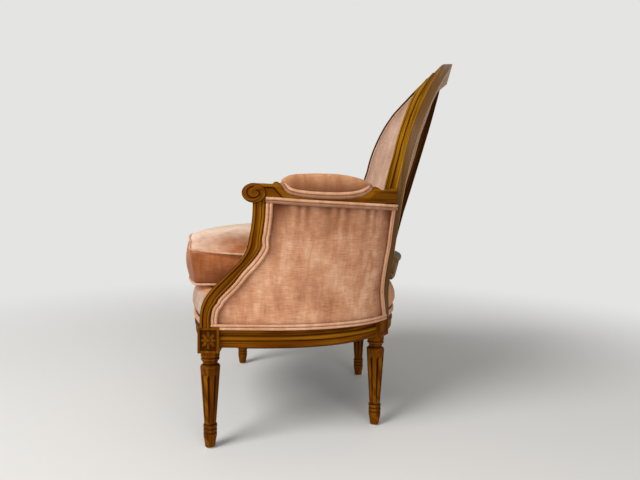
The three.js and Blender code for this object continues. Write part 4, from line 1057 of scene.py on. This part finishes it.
def add_side_panels(finish):
    """The side covers, pulled to their tacks, with painted shade: darker towards the arm, close
    under the welts and along the cover's front, rear and lower edges."""
    rings, shade = [], []
    heights = np.linspace(OPEN_LOW - 3, OPEN_HIGH, 56)
    up = (heights - OPEN_LOW) / (OPEN_HIGH - OPEN_LOW)
    # Painted shade: under grows towards the arm and the top welt and is streaked by drawn, beside
    # darkens the front and rear edges and low_edge the foot.
    under = (0.25 * up + 0.4 * up ** 4
             + 0.3 * np.exp(-np.clip(OPEN_HIGH - 16 - heights, 0, 200) / 22))
    low_edge = 0.25 * np.exp(-np.clip(heights - OPEN_LOW - 8, 0, 200) / 5)
    for along in np.linspace(0, 1, 84):
        face, rear = [], []
        for z in heights:
            y = mix(post_rear(z), cover_rear(z), along)
            out = PANEL_SWELL * side_swell(along, z) + panel_crease(y, z)
            face.append(side_point(y, z, out))
            rear.append(side_point(y, z, -PANEL_BACK))
        rings.append(face + rear[::-1])
        drawn = 0.75 + 0.25 * np.sin(along * 61 + 2 * np.sin(along * 23))
        beside = 0.6 * (math.exp(-max(0, along - 0.055) * 36)
                        + math.exp(-max(0, 0.97 - along) * 36))
        shade.append(np.concatenate([np.clip(under * drawn + beside + low_edge, 0, 1),
                                     0 * heights]))
    for side, panel in add_both("side_cover_{}", rings, finish, "velvet", sharp=0, hollow=shade):
        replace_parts(panel, f"side_panel_{side}")


# The upper run's line, by depth, and where the rear run ends under it.
UPPER_RUN = np.array([[140, 569.5], [197, 566], [400, 558.5]])
REAR_HEAD = 556


def add_side_welts(finish):
    """Double welts along the four edges of each side cover. The upper run laps over the arm's
    lower edge and the ends of the upright runs, and the lower run covers their feet."""
    low, high = RAIL_TOP - WELT / 2, UPPER_RUN[0, 1]
    heights = np.linspace(low + 10, high - 8, 60)
    front = np.array([[post_rear(z) + 0.5, z] for z in heights])
    rear = np.array([[cover_rear(z) - 1, z] for z in heights if z < REAR_HEAD])[::-1]
    begin, end = post_rear(high) + 0.5, cover_rear(REAR_HEAD) + 1
    depths = np.linspace(begin, end, 60)
    top = np.stack([depths, read(UPPER_RUN, depths)], 1)
    depths = np.linspace(cover_rear(low) - 1, post_rear(low) + 0.5, 60)
    bottom = np.stack([depths, np.full(60, low)], 1)
    for run, line, wide, proud in (("front", front, 15.5, 0.6), ("top", top, 14.5, 2.4),
                                   ("rear", rear, 9, 0.6), ("bottom", bottom, 14, 1.4)):
        section = twin_cord(wide, 5.4)
        inwards = quarter_turn(unit(np.gradient(smoothed(line, 6, closed=False), axis=0)))
        rings = []
        for spot, inward in zip(line, inwards):
            ring = []
            for across, out in section:
                y, z = spot + inward * across
                start, stop = post_rear(z), cover_rear(z)
                lift = PANEL_SWELL * side_swell((y - start) / (stop - start), z)
                ring.append(side_point(y, z, lift + out + proud))
            rings.append(ring)
        # Painted shade on the top run's lower cord.
        shade = np.maximum(CORD_PAINTED_SHADE, UNDER_SHADE) if run == "top" else CORD_PAINTED_SHADE
        for side, welt in add_both(f"side_welt_{run}_run_{{}}", rings, finish, "velvet",
                                   hollow=shade):
            if run == "front":
                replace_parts(welt, f"side_welt_{side}")


# Arm pads.

PAD_LOW = np.array([[155, 600.6], [160, 591], [165, 582.5], [171, 577.5], [177.5, 574.4],
                    [190, 571.4], [202, 569.8], [225.1, 567.9], [255.5, 567], [283, 567],
                    [312, 569.5], [330.3, 573.2], [341.8, 577.5], [353.2, 584.9],
                    [359.7, 592.9], [362.9, 599.5]])
PAD_HIGH = np.array([[155, 604.5], [157, 607.5], [161, 611], [167, 614.4], [175, 617.8],
                     [190, 620.6], [230.2, 622.8], [270.7, 623], [291.3, 621.6], [307.8, 619.8],
                     [330.9, 615.1], [344.7, 610.4], [356.4, 604.2], [361.8, 601.1],
                     [362.9, 600.2]])
PAD_MIDDLE, PAD_HALF, PAD_ACROSS = 258.9, 102.9, 20


def pad_spot(angle, scale):
    """A place on the pad's rounded plan, as [depth, across the arm]."""
    cosine, sine = math.cos(angle), math.sin(angle)
    y = PAD_MIDDLE + scale * PAD_HALF * math.copysign(abs(cosine) ** 0.4, cosine)
    across = scale * PAD_ACROSS * math.copysign(abs(sine) ** 0.55, sine)
    return y, across


def on_arm(y, across, z):
    """A place over the arm, across from the middle of its width."""
    spot, side = ARM_PATH.at(ARM_PATH.run_at(y))
    return np.array([*(spot + side * (across - ARM_WIDE / 2)), z])


def add_arm_pads(finish, welt_finish):
    """The arm pads, domed over the arms' saddles, and the double welt round each, with
    painted shade on the pads' sides and on the welt's lower cord.
    """
    angles = np.linspace(0, 2 * math.pi, 181)[:-1]
    rings, shade = [], []
    for scale in (0.94, 1, 0.995, 0.985, 0.97, 0.95, 0.92, 0.88, 0.83, 0.77, 0.7, 0.6, 0.48,
                  0.34, 0.18, 0.03):
        ring = []
        for angle in angles:
            y, across = pad_spot(angle, scale)
            side = abs(across) / PAD_ACROSS if rings else 1
            low = float(read(PAD_LOW, y)) + 2
            high = max(float(read(PAD_HIGH, y)), low + 1)
            ring.append(on_arm(y, across * 1.05, mix(low, high, (1 - side ** 5) ** 0.5)))
            # Painted shade, growing towards the pad's sides by the welt.
            shade.append(0.95 * side ** 6)
        rings.append(ring)
    shade = np.reshape(shade, (len(rings), len(angles)))
    line = np.array([pad_spot(a, 1.0) for a in angles])
    line = evenly(line, 260)
    outward = side_ways(line)
    welt = []
    for (y, across), turn in zip(line, outward):
        low = float(read(PAD_LOW, y))
        slope = float(read(PAD_LOW, y + 2) - read(PAD_LOW, y - 2)) / 4
        size = math.hypot(1, slope)
        ring = []
        for up, out in twin_cord(wide=15, tall=5.4):
            shift = y + turn[0] * out - slope / size * up
            ring.append(on_arm(shift, across + turn[1] * out, low + up / size + 0.2))
        welt.append(ring)
    for side, pad in add_both("arm_cushion_{}", rings, finish, "velvet", sharp=0, hollow=shade):
        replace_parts(pad, f"arm_pad_{side}")
    for side, edge in add_both("arm_cushion_welt_{}", welt, welt_finish, "velvet", looped=True,
                               hollow=np.maximum(CORD_PAINTED_SHADE, UNDER_SHADE[::-1])):
        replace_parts(edge, f"arm_pad_outer_welt_{side}", f"arm_pad_inner_welt_{side}")


# Back upholstery.

RAIL_HEAD, BACK_FOOT = 426, 372
PAD_CROWN, PAD_DEEP, PANEL_THICK = 20, 52, 5
# How many places there are up one stile and half the arch, for the outside back.
TO_CREST = 40 + 79


def add_back_pad(finish):
    """The stuffed back: crowned over its whole face, close against the moulding."""
    frames = back_frames(RAIL_HEAD, 34, 90)
    foot = stile_frame(BACK_FOOT)
    rim_frames = [foot] + frames + [mirror_frame(foot)]

    def back_ring(shift, sink, scale, crown):
        """A ring of the pad; sink is how far behind the moulding's edge it lies at its rim."""
        rim = []
        for spot in rim_frames:
            inner, deep = face_edge(spot)
            rim.append(placed(spot, [[inner + shift, deep - sink]])[0])
        rim = np.array(rim)
        half, deep = rim[0, 0], STILE_DEEP - sink
        x = np.linspace(-half, half, 34)[1:-1]
        sine = x / BACK_RADIUS
        low = np.stack([x - sine * deep, back_surface(x, BACK_FOOT)
                        - np.sqrt(1 - sine ** 2) * deep, np.full_like(x, BACK_FOOT)], 1)
        ring = np.vstack([rim, low])
        middle = (BACK_FOOT + CREST_Z) / 2
        x, z = ring[:, 0] * scale, mix(middle, ring[:, 2], scale)
        rim_lift = back_surface(ring[:, 0], ring[:, 2]) - ring[:, 1]
        lift = mix(PAD_DEEP - sink, rim_lift, scale ** 3)
        return np.stack([x, back_surface(x, z) - lift - crown * PAD_CROWN, z], 1)

    inset, rear_sink = 8, 16
    rings = [back_ring(inset, rear_sink, 0.3, 0), back_ring(3, rear_sink, 1, 0),
             back_ring(3, 7, 1, 0)]
    scales = np.concatenate([np.linspace(1, 0.8, 14), np.linspace(0.76, 0.04, 18)])
    rings += [back_ring(inset, 5, scale, (1 - scale ** 5) ** 0.8) for scale in scales]
    # Painted shade towards the pad's rim, where it rolls down to the moulding.
    shade = 0.6 * np.exp(-np.concatenate([[0, 0, 0], 1 - scales]) / 0.09)[:, None]
    pad = add_loft("back_cushion", rings, finish, "velvet", sharp=0, hollow=shade)
    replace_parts(pad, "back_pad")
    section = twin_cord(wide=11.5, tall=4.8)
    welt = []
    for spot in frames:
        inner, deep = face_edge(spot)
        welt.append(placed(spot, np.array([inner + 0.2, deep - 9]) + section))
    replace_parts(add_loft("back_double_welt", welt, finish, "velvet", hollow=CORD_PAINTED_SHADE),
                "back_welt")


def add_back_panel(finish):
    """The outside back: one curved sheet in the frame's rebate, from its left edge as far as
    the crest."""
    rows = []
    for spot in back_frames(RAIL_HEAD - 6, 40, 161)[:TO_CREST]:
        deep = at_height(spot, PANEL_DEEP)
        edge = placed(spot, [[spot[3] - 9.5, deep]])[0]
        rows.append([edge[0], edge[2], deep])
    rows = np.array(rows)
    rows = rows[np.concatenate([[True], np.diff(rows[:, 1]) > 0.05])]
    rings = []
    for half, z, deep in rows:
        x = np.linspace(-half, half, 50)
        y = back_surface(x, z) - deep
        rings.append(np.vstack([np.stack([x, y, np.full(50, z)], 1),
                                np.stack([x, y - PANEL_THICK, np.full(50, z)], 1)[::-1]]))
    panel = add_loft("outside_back", rings, finish, "back_veneer", hollow=0)
    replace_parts(panel, "back_panel")


# Seat.

DECK_VOXEL, CUSHION_VOXEL = 0.006, 0.0055
CLOTH_STEPS = 20


def stuffed(piece, finish, voxel, rounds):
    """Remeshes a piece evenly and rounds it off, for stuffing."""
    piece.modifiers.new("even", "REMESH").voxel_size = voxel
    relax = piece.modifiers.new("relax", "SMOOTH")
    relax.factor, relax.iterations = 0.5, rounds
    settle(piece)
    piece.data.materials.clear()
    piece.data.materials.append(finish)
    piece.data.polygons.foreach_set("use_smooth", [True] * len(piece.data.polygons))


def stuffed_node(name, node, finish, rounds=6):
    """A stuffed piece from a node's solid."""
    piece = new_object(name, bpy.data.objects[node].data.copy())
    stuffed(piece, finish, DECK_VOXEL, rounds)
    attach(piece, "frame")
    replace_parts(piece, node)
    return piece


def settle(piece):
    """Keeps what the modifiers make, and takes them off."""
    bpy.context.view_layer.update()
    graph = bpy.context.evaluated_depsgraph_get()
    mesh = bpy.data.meshes.new_from_object(piece.evaluated_get(graph))
    piece.modifiers.clear()
    piece.data = mesh


def mark_points(piece, name, values):
    """Gives each point of a piece a value for its finish to read."""
    mark = piece.data.attributes.new(name, "FLOAT", "POINT")
    mark.data.foreach_set("value", np.asarray(values, np.float32))


def mesh_points(piece):
    points = np.empty(len(piece.data.vertices) * 3)
    piece.data.vertices.foreach_get("co", points)
    return points.reshape(-1, 3)


def in_chair(points):
    """Places in the scene as millimetres from the chair's own zero."""
    return points / MM - (0, LEG_LINE / MM, 0)


def swell(piece, held, pressure, cap):
    """Blows the cloth up a little against its seams. Held is how firmly each point stays, and
    no point moves further than cap, in metres."""
    before = mesh_points(piece)
    group = piece.vertex_groups.new(name="seams")
    for index in np.nonzero(held > 0)[0]:
        group.add([int(index)], float(held[index]), "REPLACE")
    cloth = piece.modifiers.new("cloth", "CLOTH")
    cloth.settings.use_pressure = True
    cloth.settings.uniform_pressure_force = pressure
    cloth.settings.effector_weights.gravity = 0
    cloth.settings.vertex_group_mass = "seams"
    cloth.settings.quality = 4
    cloth.settings.tension_stiffness = 12
    cloth.settings.bending_stiffness = 2
    scene = bpy.context.scene
    for step in range(CLOTH_STEPS):
        scene.frame_set(step + 1)
    settle(piece)
    scene.frame_set(1)
    after = mesh_points(piece)
    move = after - before
    size = np.linalg.norm(move, axis=1, keepdims=True)
    move = move * np.minimum(1, cap / np.maximum(size, 1e-9))
    piece.data.vertices.foreach_set("co", (before + move).ravel())
    piece.data.update()


def add_seat(finish, welt_finish):
    """The stuffed platform, with painted shadow where the cushion covers it and painted shade
    towards the rear, with the inner arms and the welts along the seat rails."""
    platform = stuffed_node("seat_platform", "seat_deck", finish)
    points = in_chair(mesh_points(platform))
    # Painted shadow under the cushion and painted shade towards the rear, marked for the finish's
    # deeper tones.
    covered = ease((points[:, 2] - points[:, 2].max() + 16) / 12)
    mark_points(platform, "boxing", np.maximum(covered, ease((points[:, 1] - 240) / 90)))
    for name in ("left", "right"):
        stuffed_node(f"inner_arm_cover_{name}", f"inner_arm_{name}", finish, rounds=10)
    section = twin_cord(WELT, 4.8)
    rows = np.column_stack([section[:, 1] + 0.6, RAIL_TOP - WELT / 2 + section[:, 0]])
    front = FRONT_PATH.sweep(BLOCK / 2, FRONT_PATH.length - BLOCK / 2, 70, rows)
    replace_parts(add_loft("front_double_welt", front, welt_finish, "velvet",
                         hollow=CORD_PAINTED_SHADE), "front_welt")
    rear = REAR_PATH.sweep(REAR_RUN + BLOCK / 2, REAR_PATH.length - REAR_RUN - BLOCK / 2, 50, rows)
    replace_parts(add_loft("rear_double_welt", rear, welt_finish, "velvet",
                         hollow=CORD_PAINTED_SHADE), "rear_welt")


CUSHION_TALL, CUSHION_HALF, CUSHION_ARCH, CUSHION_CROWN = 97.5, 246, 26, 15.5
CUSHION_SWELL, CUSHION_PULL = 10.5, 7
SEAM_LOW, SEAM_HIGH, PIPING_RADIUS = 0.09, 0.9, 2.6
# The front corners: how tall their ears stand, how far these lean forward at the top, how far
# off they fade out, and how far off the boxing's bulge reaches its full size.
EAR_TALL, EAR_LEAN, EAR_NEAR, BULGE_NEAR = 3.5, 9, 60, 70
# How far the top's sides sag: all along, and more at the rear.
SIDE_SAG, REAR_SAG, SAG_RUN = 3, 7, 170


def seam_lift(x, share):
    """The cushion's upper seam rises from its corners and sides to its middle."""
    side = np.clip(np.abs(x) / CUSHION_HALF, 0, 1)
    return CUSHION_ARCH * (1 - side ** 4) * ease(share)


def cushion_plan():
    """The cushion's outline at its lower seam, evenly spaced, and its lowest height."""
    source = in_chair(np.array([v.co for v in bpy.data.objects["seat_cushion"].data.vertices]))
    low = source[:, 2].min()
    ring = source[np.abs(source[:, 2] - low - SEAM_LOW * CUSHION_TALL - 0.4) < 1.5][:, :2]
    middle = np.array([0, (ring[:, 1].min() + ring[:, 1].max()) / 2])
    around = np.arctan2(ring[:, 1] - middle[1], ring[:, 0])
    return evenly(ring[np.argsort(around)], 320), middle, low


def side_fall(points, corner_y):
    """How far the top's edge sags towards the sides, the more the further back."""
    sag = SIDE_SAG + REAR_SAG * ease((points[:, 1] - corner_y) / SAG_RUN)
    return sag * (np.abs(points[:, 0]) / CUSHION_HALF) ** 6


def mark_painted_shade(piece, corner_y, low):
    """Marks painted shade: the boxing between the seams for the deeper tones, darker towards its
    foot, and the sides of the top with the same tones, the more the further back."""
    x, y, z = in_chair(mesh_points(piece)).T
    under = z - (low + SEAM_LOW * CUSHION_TALL)
    over = (low + SEAM_HIGH * CUSHION_TALL + seam_lift(x, SEAM_HIGH)
            - side_fall(np.stack([x, y], 1), corner_y) - z)
    strip = np.clip(under / 2 + 0.5, 0, 1) * np.clip(over / 2 + 0.5, 0, 1)
    slope = ease((np.abs(x) / CUSHION_HALF - 0.5) / 0.4) * (over < 0)
    streaks = 1 + 0.06 * np.sin(y / 13 + 3 * np.sin(x / 31) + x / 19)
    slope_shade = slope * (0.35 + 0.6 * ease((y - corner_y + 12) / 110)) * streaks
    foot = np.clip(1 - (z - low) / (0.8 * CUSHION_TALL), 0, 1)
    mark_points(piece, "boxing", np.maximum(strip, slope_shade))
    mark_points(piece, "hollow", 0.85 * foot * strip)


def add_cushion(finish, piping_finish):
    """The loose cushion: its boxing sewn to a top and a bottom along piped edges."""
    plan, middle, low = cushion_plan()
    plan = smoothed(plan, 3)
    outward = side_ways(plan)
    corner_y = plan[np.argmin(plan @ [-1.0, 1.0]), 1]
    corners = plan[[np.argmin(plan @ [-1.0, 1.0]), np.argmin(plan @ [1.0, 1.0])]]
    far = np.min(np.linalg.norm(plan[:, None] - corners[None], axis=2), axis=1)
    front = plan[:, 1] < corner_y + 1
    bulge = np.where(front, CUSHION_SWELL, -CUSHION_PULL) * ease(far / BULGE_NEAR)
    ears = 1 - ease(far / EAR_NEAR)

    def cushion_ring(share, height, pull, crown):
        spot = middle + (plan + outward * (bulge * pull)[:, None] - middle) * share
        spot[:, 1] -= EAR_LEAN * ears * float(ease((height - 0.2) / 0.6)) * share ** 4
        sag = side_fall(spot, corner_y) * float(ease((height - 0.4) / 0.5))
        z = (low + height * CUSHION_TALL + crown * CUSHION_CROWN + seam_lift(spot[:, 0], height)
             + EAR_TALL * ears * float(ease((height - 0.5) / 0.4)) * share ** 8 - sag)
        return np.column_stack([spot, z])

    boxing = [cushion_ring(1, h, math.sin(math.pi * (h - SEAM_LOW) / (SEAM_HIGH - SEAM_LOW)), 0)
              for h in np.linspace(SEAM_LOW, SEAM_HIGH, 14)]
    lower = [cushion_ring(share, 0.01 + 0.08 * share ** 12, 0, 0)
             for share in (0.05, 0.25, 0.5, 0.75, 0.9, 0.96, 0.985)]
    top = [cushion_ring(share, 0.97 - 0.07 * share ** 16, 0, (1 - share ** 3.4) ** 0.62)
           for share in (0.995, 0.985, 0.97, 0.94, 0.9, 0.84, 0.76, 0.66, 0.54, 0.4, 0.25, 0.08)]
    rings = np.array(lower + boxing + top)
    seams = {"lower": boxing[0], "upper": boxing[-1]}
    piece = add_loft("seat_cushion_cover", rings, finish, "velvet", body="cushion", sharp=0)
    stuffed(piece, finish, CUSHION_VOXEL, rounds=2)
    points = mesh_points(piece)
    held = np.zeros(len(points))
    for seam in seams.values():
        seam = (seam[::3] + (0, LEG_LINE / MM, 0)) * MM
        gap = np.min(np.linalg.norm(points[:, None] - seam[None], axis=2), axis=1)
        held = np.maximum(held, np.clip((0.014 - gap) / 0.008, 0, 1))
    held = np.maximum(held, np.clip((low * MM + 0.008 - points[:, 2]) / 0.004, 0, 1))
    swell(piece, held, pressure=2.5, cap=0.009)
    mark_painted_shade(piece, corner_y, low)
    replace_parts(piece, "seat_cushion")
    out = np.column_stack([outward, np.zeros(len(outward))])
    for name, seam in seams.items():
        add_loft(f"cushion_piping_{name}", round_cord(seam + out * 1.2, out, PIPING_RADIUS),
                 piping_finish, "velvet", looped=True, body="cushion")


# The stage.

BACKDROP, FLOOR_HALF = "#e4e4e3", 14.0
FADE_NEAR, FADE_FAR = 0.6, 2.4


def add_floor():
    """A wide, plain, pale floor that takes the chair's shadow. To the camera it fades into the
    backdrop's tone a few metres out."""
    mesh = bpy.data.meshes.new("floor")
    corners = ((-1, -1), (1, -1), (1, 1), (-1, 1))
    mesh.from_pydata([(FLOOR_HALF * x, FLOOR_HALF * y, 0) for x, y in corners], [], [(0, 1, 2, 3)])
    material, shader = new_material("studio_floor", Roughness=0.8)
    shader.inputs["Base Color"].default_value = colour("#ebe9e5")
    way = add_node(material, "ShaderNodeTexCoord")
    reach = add_node(material, "ShaderNodeVectorMath", {"operation": "LENGTH"},
                     links={0: (way, "Object")})
    far = add_node(material, "ShaderNodeMapRange", {"interpolation_type": "SMOOTHSTEP"},
                   {"From Min": FADE_NEAR, "From Max": FADE_FAR}, {"Value": (reach, "Value")})
    rays = add_node(material, "ShaderNodeLightPath")
    seen = add_node(material, "ShaderNodeMath", {"operation": "MULTIPLY"},
                    links={0: (far, "Result"), 1: (rays, "Is Camera Ray")})
    plain = add_node(material, "ShaderNodeEmission", inputs={"Color": colour(BACKDROP)})
    blend = add_node(material, "ShaderNodeMixShader", links={
        0: (seen, "Value"), 1: (shader, "BSDF"), 2: (plain, "Emission")})
    join(material, material.node_tree.nodes["Material Output"], {"Surface": (blend, "Shader")})
    mesh.materials.append(material)
    new_object("floor", mesh)


def add_lamp(name, spot, aim, size, power):
    data = bpy.data.lights.new(name, "AREA")
    data.shape, data.size, data.energy = "DISK", size, power
    lamp = new_object(name, data)
    lamp.location = spot
    lamp.rotation_euler = (Vector(aim) - Vector(spot)).to_track_quat("-Z", "Y").to_euler()


def add_world(level):
    """Soft light from all round; the camera and reflections see the plain pale backdrop."""
    world = bpy.data.worlds.new("studio")
    bpy.context.scene.world = world
    world.use_nodes = True
    rays = add_node(world, "ShaderNodeLightPath")
    seen = add_node(world, "ShaderNodeMath", {"operation": "MAXIMUM"}, links={
        0: (rays, "Is Camera Ray"), 1: (rays, "Is Glossy Ray")})
    seen = add_node(world, "ShaderNodeMath", {"operation": "MAXIMUM"}, links={
        0: (seen, "Value"), 1: (rays, "Is Transmission Ray")})
    pick = add_node(world, "ShaderNodeMix", {"data_type": "RGBA"}, {
        "A": (level, level, level, 1), "B": colour(BACKDROP)}, {"Factor": (seen, "Value")})
    join(world, world.node_tree.nodes["Background"], {"Color": (pick, "Result")})


# The chair.

set_camera()
beech = wood_finish("antiqued_stained_beech", "#3f1a00", "#643300", "#8d5806", 0.4)
# Greyer brown tones on a waxed face: painted reflection.
polished_beech_reflection = wood_finish("polished_beech_painted_reflection", "#432810", "#5a3d1c", "#6f4f2a", 0.45,
                             wax=0.04, shine=0.08)
gold_beech = wood_finish("gold_rubbed_moulding", "#5a3300", "#825408", "#a87616", 0.5,
                         wax=0, shine=0.01)
# Far darker than the stained beech: painted shade, where the outside back lies in shadow.
veneer = wood_finish("back_veneer_painted_shade", "#240a00", "#3a1a03", "#56300a", 0.6, wax=0, shine=0)
raw_beech = wood_finish("raw_beech_blocks", "#a27c50", "#bd9768", "#d0ad80", 0.7, mark=None)
# Pale pinkish grey on the rear face: painted sheen.
rear_beech_sheen = wood_finish("rear_beech_painted_sheen", "#7d5a40", "#987356", "#b08c6c", 0.5, wax=0.1,
                         shine=0.12)
# Paler and greyer than the stained beech.
lower_wood = wood_finish("pale_grey_beech_rail", "#5d4023", "#775836", "#8f704b", 0.45, mark=None)
velvet = velvet_finish("salmon_velvet", "#a56e4e", "#c8906d", "#e4b796")
pad_velvet = velvet_finish("arm_pad_velvet", "#ab744f", "#c98f66", "#e4b48a")
# Paler and greyer than the side velvet: painted sheen.
back_velvet = velvet_finish("back_velvet", "#b5917a", "#c6a28b", "#d8b8a2")
# Paler and greyer at the front: painted sheen; the boxing tones, at the rear and under the cushion,
# are painted shade.
deck_velvet = velvet_finish("platform_velvet", "#97796a", "#ad9180", "#c2a795",
                            boxing=("#a86c48", "#c0845c", "#d89e76"))
# The cushion's pale top tones are painted light and sheen, and its boxing tones painted shade.
seat_velvet = velvet_finish("seat_velvet_painted_light", "#e2bca1", "#f2d3ba", "#fbe6d2", sheen=0.4,
                            boxing=("#864a26", "#a05e36", "#bc7a4c"))
welt_velvet = velvet_finish("velvet_welt", "#b88362", "#cc9a78", "#e0b594")
webbing = woven_finish("jute_webbing", "#5d4526", "#a98c5f", 2.2)
cambric = woven_finish("black_cambric", "#151413", "#34312e", 0.9)
steel = metal_finish("spring_steel", "#4a4644", "#8b8a88", 0.45)
nylon = moulded_finish("nylon_glide", "#a9a7a1", "#cfcdc7", 0.5)

front_spot = np.array([LEG_SPREAD, 0.0])
add_leg("front_leg", FRONT_LEG_TOP, front_spot, 0,
        [rosette_face, plain_face, plain_face, rosette_face], beech)
add_leg("rear_leg", REAR_LEG_TOP, REAR_LEG, REAR_TURN,
        [panelled_face, plain_face, plain_face, plain_face], beech, rake=2.5)
add_rails(beech)
add_back_frame(gold_beech, polished_beech_reflection, rear_beech_sheen)
add_posts(beech)
add_arms(beech)
add_side_panels(velvet)
add_side_welts(welt_velvet)
add_arm_pads(pad_velvet, welt_velvet)
add_back_pad(back_velvet)
add_back_panel(veneer)
add_seat(deck_velvet, welt_velvet)
add_cushion(seat_velvet, welt_velvet)

for node, finish in (("back_lower_rail", lower_wood), ("webbing", webbing),
                     ("dust_cover", cambric)):
    bpy.data.objects[node].material_slots[0].material = finish
for place in ("front", "rear"):
    for side in ("left", "right"):
        bpy.data.objects[f"{place}_glide_{side}"].material_slots[0].material = nylon
        bpy.data.objects[f"{place}_corner_block_{side}"].material_slots[0].material = raw_beech
for number in range(1, 6):
    bpy.data.objects[f"seat_spring_{number}"].material_slots[0].material = steel

add_floor()
add_world(level=0.27)
add_lamp("key", spot=(2.2, -2.5, 2.9), aim=(0, 0, 0.5), size=2.2, power=140)
add_lamp("fill", spot=(3.2, 1.0, 1.4), aim=(0, 0, 0.4), size=2.0, power=34)
bpy.context.scene.view_settings.view_transform = "Standard"
